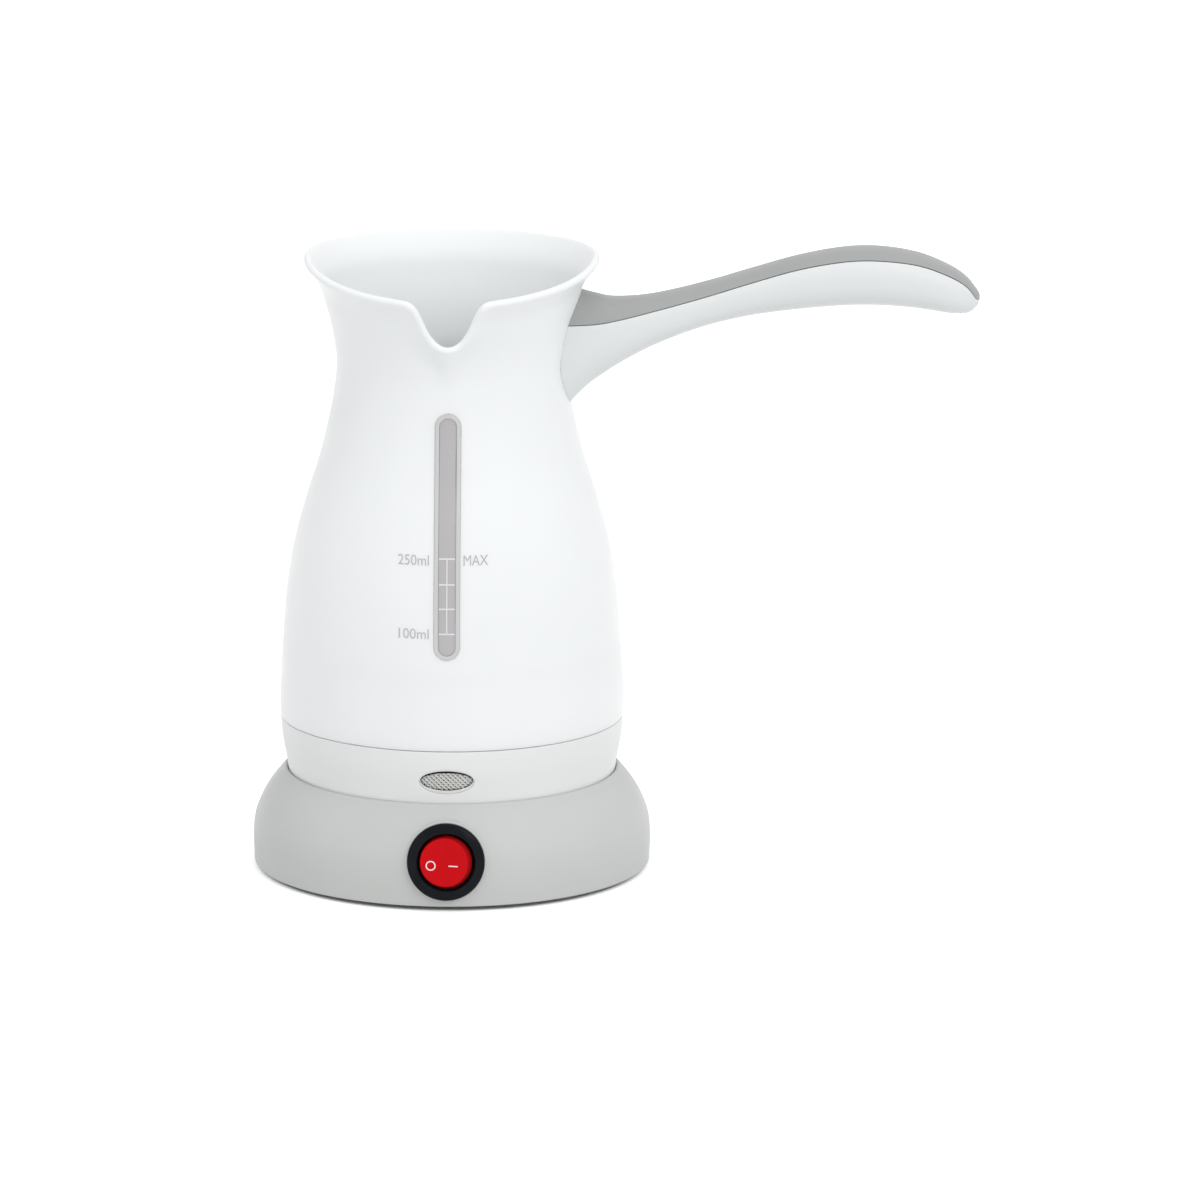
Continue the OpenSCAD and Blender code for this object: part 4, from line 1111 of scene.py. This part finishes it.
def plastic(name, colour, gloss, dullness, deep=0.96, grain=2500, relief=0.12, **shader):
    more = {"Deep colour": tinted(colour, deep), "Tone scale": 18, "Grain scale": grain}
    return finish_from(name, MOULDED, colour, gloss, dullness, more, relief, 0.03 * MM, shader)


def bare_metal(name, group, pattern, colour, gloss, dullness, tarnish, relief):
    more = {"Tarnish": tinted(colour, tarnish), **pattern}
    return finish_from(name, group, colour, gloss, dullness, more, relief, 0.02 * MM, {"Metallic": 1.0})


def metal(name, colour, gloss, dullness, tarnish=0.85):
    return bare_metal(name, METAL, {"Streaks": (400, 400, 5000)}, colour, gloss, dullness, tarnish, 0.15)


def polished(name, colour, gloss, dullness, rings=2500):
    return bare_metal(name, RINGS, {"Rings": rings}, colour, gloss, dullness, 0.9, 0.2)


# ---- Materials ----

SATIN = {"Specular IOR Level": 0.08}
GLOSSY = {"Specular IOR Level": 0.09}
DIM = {"Specular IOR Level": 0.05}
CLEAR = {"Transmission Weight": 0.15, "IOR": 1.49}
MILKY = {**SATIN, "Subsurface Weight": 0.25, "Subsurface Scale": 2.5 * MM, "Subsurface Radius": (1, 1, 1)}
WHITE = plastic("white_polypropylene", (0.84, 0.858, 0.864), 0.30, 0.42, deep=0.985, **MILKY)
SKIRT_WHITE = plastic("white_housing_plastic", (0.775, 0.785, 0.788), 0.32, 0.44, deep=0.98, **SATIN)
HANDLE_WHITE = plastic("white_handle_plastic", (0.725, 0.745, 0.75), 0.3, 0.42, deep=0.98, **SATIN)
GREY = plastic("grey_satin_plastic", (0.55, 0.565, 0.555), 0.34, 0.46, deep=0.97, grain=3200, **SATIN)
CAP_GREY = plastic("grey_cap_plastic", (0.37, 0.38, 0.375), 0.3, 0.42, deep=0.97, grain=3200, **SATIN)
RUBBER = plastic("black_rubber", (0.035, 0.035, 0.036), 0.62, 0.8, grain=2200, relief=0.3)
BLACK = plastic("gloss_black_plastic", (0.005, 0.007, 0.01), 0.18, 0.3, deep=0.8, relief=0.05, **GLOSSY)
RED = plastic("red_rocker_plastic", (0.60, 0.004, 0.008), 0.2, 0.3, deep=0.9, relief=0.05, **DIM)
# A darker copy of the rocker's red for its side walls: painted shade.
RED_SIDE_PAINTED_SHADE = plastic("red_rocker_side_painted_shade", (0.37, 0.004, 0.006), 0.3, 0.4, deep=0.85, relief=0.1, **DIM)
MARK = plastic("white_mark_ink", (0.86, 0.84, 0.83), 0.35, 0.5, deep=0.93)
WINDOW = plastic("smoked_window_plastic", (0.46, 0.45, 0.46), 0.18, 0.3, deep=0.95, relief=0.05)
BORDER = plastic("window_border_plastic", (0.58, 0.575, 0.58), 0.2, 0.32, relief=0.05)
SCALE = plastic("window_scale_print", (0.74, 0.73, 0.74), 0.4, 0.5, deep=0.95)
WORDS = plastic("grey_print", (0.50, 0.50, 0.51), 0.45, 0.6, deep=0.9)
LENS = plastic("clear_lens_plastic", (0.9, 0.9, 0.88), 0.04, 0.1, deep=0.94, relief=0.03, **CLEAR)
# A dark copy of the lens's colour for facets that face away from the light: painted shade.
LENS_SHADE = plastic("lens_facet_in_shade", (0.12, 0.12, 0.115), 0.04, 0.1, deep=0.8, relief=0.03, **CLEAR)
# Near black for the faces in the gap round the lens: painted shade.
LENS_GAP_PAINTED_SHADE = plastic("painted_shade_round_the_lens", (0.02, 0.02, 0.02), 0.5, 0.6, deep=0.8, **DIM)


def dress(finish, *names):
    """Gives CAD nodes that stay in view their finish."""
    for name in names:
        coat(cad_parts[name], finish)


def dress_lead(tone, colour, *names, deep=0.85):
    dress(plastic(tone + "_insulation", colour, 0.3, 0.42, deep=deep), *names)


def dress_frame():
    """The pieces inside, underneath and between: covers, contacts, screws, seals, heater and leads."""
    dress(plastic("grained_cover_plastic", (0.48, 0.49, 0.48), 0.5, 0.62, grain=1800, relief=0.35),
          "base_bottom_cover")
    dress(RUBBER, "foot_ring")
    dress(metal("zinc_plated_screw", (0.66, 0.67, 0.69), 0.22, 0.38),
          "base_screws", "socket_screws", "cord_clamp_screws", "clamp_screws", "inlet_screws",
          "housing_screws", "handle_screws")
    dress(metal("spring_steel", (0.6, 0.61, 0.63), 0.18, 0.3), "switch_spring")
    dress(plastic("natural_nylon", (0.80, 0.79, 0.74), 0.4, 0.52, deep=0.93), "switch_plunger")
    dress(metal("brass_strip", (0.78, 0.56, 0.25), 0.2, 0.36),
          "switch_contact_lever", "switch_terminals", "socket_contacts", "inlet_pins")
    dress(plastic("matt_black_connector", (0.028, 0.028, 0.03), 0.42, 0.58, grain=1800, relief=0.3),
          "socket_block", "cord_clamp", "inlet_block")
    dress(plastic("milky_silicone", (0.74, 0.73, 0.71), 0.4, 0.55, deep=0.92),
          "window_gasket", "floor_seal")
    dress(plastic("neon_bulb_glass", (0.9, 0.62, 0.45), 0.03, 0.1, deep=0.85, relief=0.02), "lamp_bulb")
    dress(plastic("moulded_holder", (0.77, 0.77, 0.73), 0.45, 0.6, deep=0.93), "lamp_holder")
    dress(polished("stainless_floor", (0.62, 0.62, 0.62), 0.2, 0.36), "floor_plate")
    dress(metal("zinc_plated_pressing", (0.57, 0.58, 0.6), 0.28, 0.45), "clamp_ring")
    dress(polished("turned_aluminium", (0.72, 0.72, 0.73), 0.28, 0.42, rings=1800), "heat_spreader")
    dress(metal("heat_toned_tube", (0.36, 0.35, 0.34), 0.3, 0.5, tarnish=0.6), "heater_element")
    dress(plastic("phenolic_body", (0.07, 0.065, 0.065), 0.35, 0.5, deep=0.8, relief=0.25), "thermostat")
    dress(plastic("fuse_ceramic", (0.78, 0.77, 0.71), 0.5, 0.65, deep=0.9, relief=0.3), "thermal_fuse")
    dress_lead("brown", (0.2, 0.08, 0.03), "live_lead", "switched_lead")
    dress_lead("blue", (0.02, 0.09, 0.36), "neutral_lead")
    dress_lead("green", (0.09, 0.32, 0.07), "earth_lead")
    dress(plastic("glass_fibre_sleeve", (0.7, 0.68, 0.6), 0.7, 0.85, grain=1400, relief=0.6),
          "heater_leads")
    dress_lead("grey", (0.55, 0.55, 0.55), "lamp_leads", deep=0.88)


def make_pieces():
    """Every piece with its material, the body it rides on, its slot and the nodes it stands for."""
    for piece, finish, body, slot, *nodes in (
            (make_base(), GREY, "base", "grey_plastic", "base_shell"),
            (make_bezel(), BLACK, "base", "switch_black", "switch_housing"),
            (make_rocker(), None, "rocker", "rocker_red", "switch_rocker"),
            (make_marks(), MARK, "rocker", "rocker_red"),
            (make_gland(), RUBBER, "base", "foot_rubber", "cord_gland"),
            (make_pot(), WHITE, "pot", "white_plastic", "pot_body"),
            (make_window_frame(), BORDER, "pot", "window_plastic", "level_window"),
            (make_pane(), WINDOW, "pot", "window_plastic"),
            (make_scale(), SCALE, "pot", "window_plastic"),
            (make_labels(), WORDS, "pot", "white_plastic"),
            (make_skirt(), SKIRT_WHITE, "pot", "white_plastic", "lower_housing"),
            (make_lens(), None, "pot", "lens_clear", "lamp_lens"),
            (make_lens_frame(), None, "pot", "lens_clear"),
            (handle_half("handle_lower_shell", True), HANDLE_WHITE, "pot", "white_plastic", "handle_lower"),
            (handle_half("handle_top_cap", False), CAP_GREY, "pot", "grey_plastic", "handle_cap")):
        if finish:
            coat(piece, finish)
        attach(piece, body)
        if nodes:
            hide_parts(*nodes)


# ---- Studio ----

CAMERA_TURN = 0.5
CAMERA_SPOT = Vector((0.04456, -2.0, 0.525))
CAMERA_AIM = Vector((0.04456, 0, 0.08115))
CAMERA_LENS = 204.2
CAMERA_SENSOR = 36
CAMERA_ROLL = 0.0042
LIGHT_FROM = Vector((0.3, -0.75, 0.59))
LAMP_AIM = Vector((0.02, 0, 0.1))
AMBIENT = (0.52, 1.05)

# The floor's glow: where it rises, its strength there, and where the shade under the foot ends; the glow is
# weaker near the object and off under the foot, which paints shade round the foot
GLOW_REACH = (0.06, 0.2)
GLOW = (0.45, 0.8)
FOOT_SHADE = (0.0572, 0.0592)


def put_in_scene(name, data):
    made = bpy.data.objects.new(name, data)
    bpy.context.scene.collection.objects.link(made)
    return made


def make_camera():
    data = bpy.data.cameras.new("camera")
    data.lens = CAMERA_LENS
    data.sensor_width = CAMERA_SENSOR
    camera = put_in_scene("camera", data)
    look = (CAMERA_AIM - CAMERA_SPOT).to_track_quat("-Z", "Y").to_matrix().to_4x4()
    roll = Matrix.Rotation(CAMERA_ROLL, 4, "Z")
    camera.matrix_world = rotation(CAMERA_TURN, "Z") @ shift(*CAMERA_SPOT) @ look @ roll
    bpy.context.scene.camera = camera


def seen_directly(tree):
    """1 for what the camera sees, also in a reflection or through glass."""
    path = node(tree, "ShaderNodeLightPath").outputs
    total = math_node(tree, "ADD", path["Is Camera Ray"], path["Is Glossy Ray"])
    total = math_node(tree, "ADD", total, path["Is Transmission Ray"])
    return math_node(tree, "MINIMUM", total, 1.0)


def make_world():
    """Even light, stronger from the upper right, and a white background."""
    world = bpy.data.worlds.new("studio")
    bpy.context.scene.world = world
    tree = tree_of(world)
    direction = node(tree, "ShaderNodeTexCoord").outputs["Generated"]
    facing = vector_node(tree, "DOT_PRODUCT", direction, LIGHT_FROM)
    ambient = ramp(tree, facing, -1.0, 1.0, *AMBIENT)
    strength = node(tree, "ShaderNodeMix", {0: seen_directly(tree), 2: ambient, 3: 1.0}).outputs[0]
    feed(tree, tree.nodes["Background"], {"Color": (1, 1, 1, 1), "Strength": strength})


def make_floor():
    """A pale floor that keeps the object's shadow and runs into the white background. Its glow is weaker
    near the object and off under the foot, a painted shadow on top of the real one.
    """
    bpy.ops.mesh.primitive_plane_add(size=8)
    floor = named("floor")
    made = bpy.data.materials.new("pale_floor")
    tree = tree_of(made)
    reach = vector_node(tree, "LENGTH", place_of(tree))
    open_floor = ramp(tree, reach, *GLOW_REACH, *GLOW)
    # No glow under the foot and less near the object: painted shade round the foot, over the real shadow.
    outside_foot = ramp(tree, reach, *FOOT_SHADE)
    fade = math_node(tree, "MULTIPLY", open_floor, outside_foot)
    glow = math_node(tree, "MULTIPLY", seen_directly(tree), fade)
    feed(tree, tree.nodes["Principled BSDF"], {
        "Base Color": (0.82, 0.82, 0.82, 1), "Roughness": 0.9, "Specular IOR Level": 0.0,
        "Emission Color": (1, 1, 1, 1), "Emission Strength": glow})
    floor.data.materials.append(made)


def lamp(name, spot, size, watts):
    """A square soft light that looks at the part."""
    data = bpy.data.lights.new(name, "AREA")
    data.size = size
    data.energy = watts
    light = put_in_scene(name, data)
    light.location = spot
    light.rotation_euler = (LAMP_AIM - Vector(spot)).to_track_quat("-Z", "Y").to_euler()


def make_studio():
    """Soft light from the upper right, with a little from the left and from above."""
    make_world()
    make_floor()
    lamp("key_light", (1.1, -1.5, 1.4), 0.9, 7)
    lamp("fill_light", (-1.3, -1.7, 0.7), 1.0, 1.5)
    lamp("top_light", (0, -0.2, 1.3), 0.6, 1.5)
    make_camera()
    bpy.context.scene.view_settings.view_transform = "Standard"


make_studio()
dress_frame()
make_pieces()
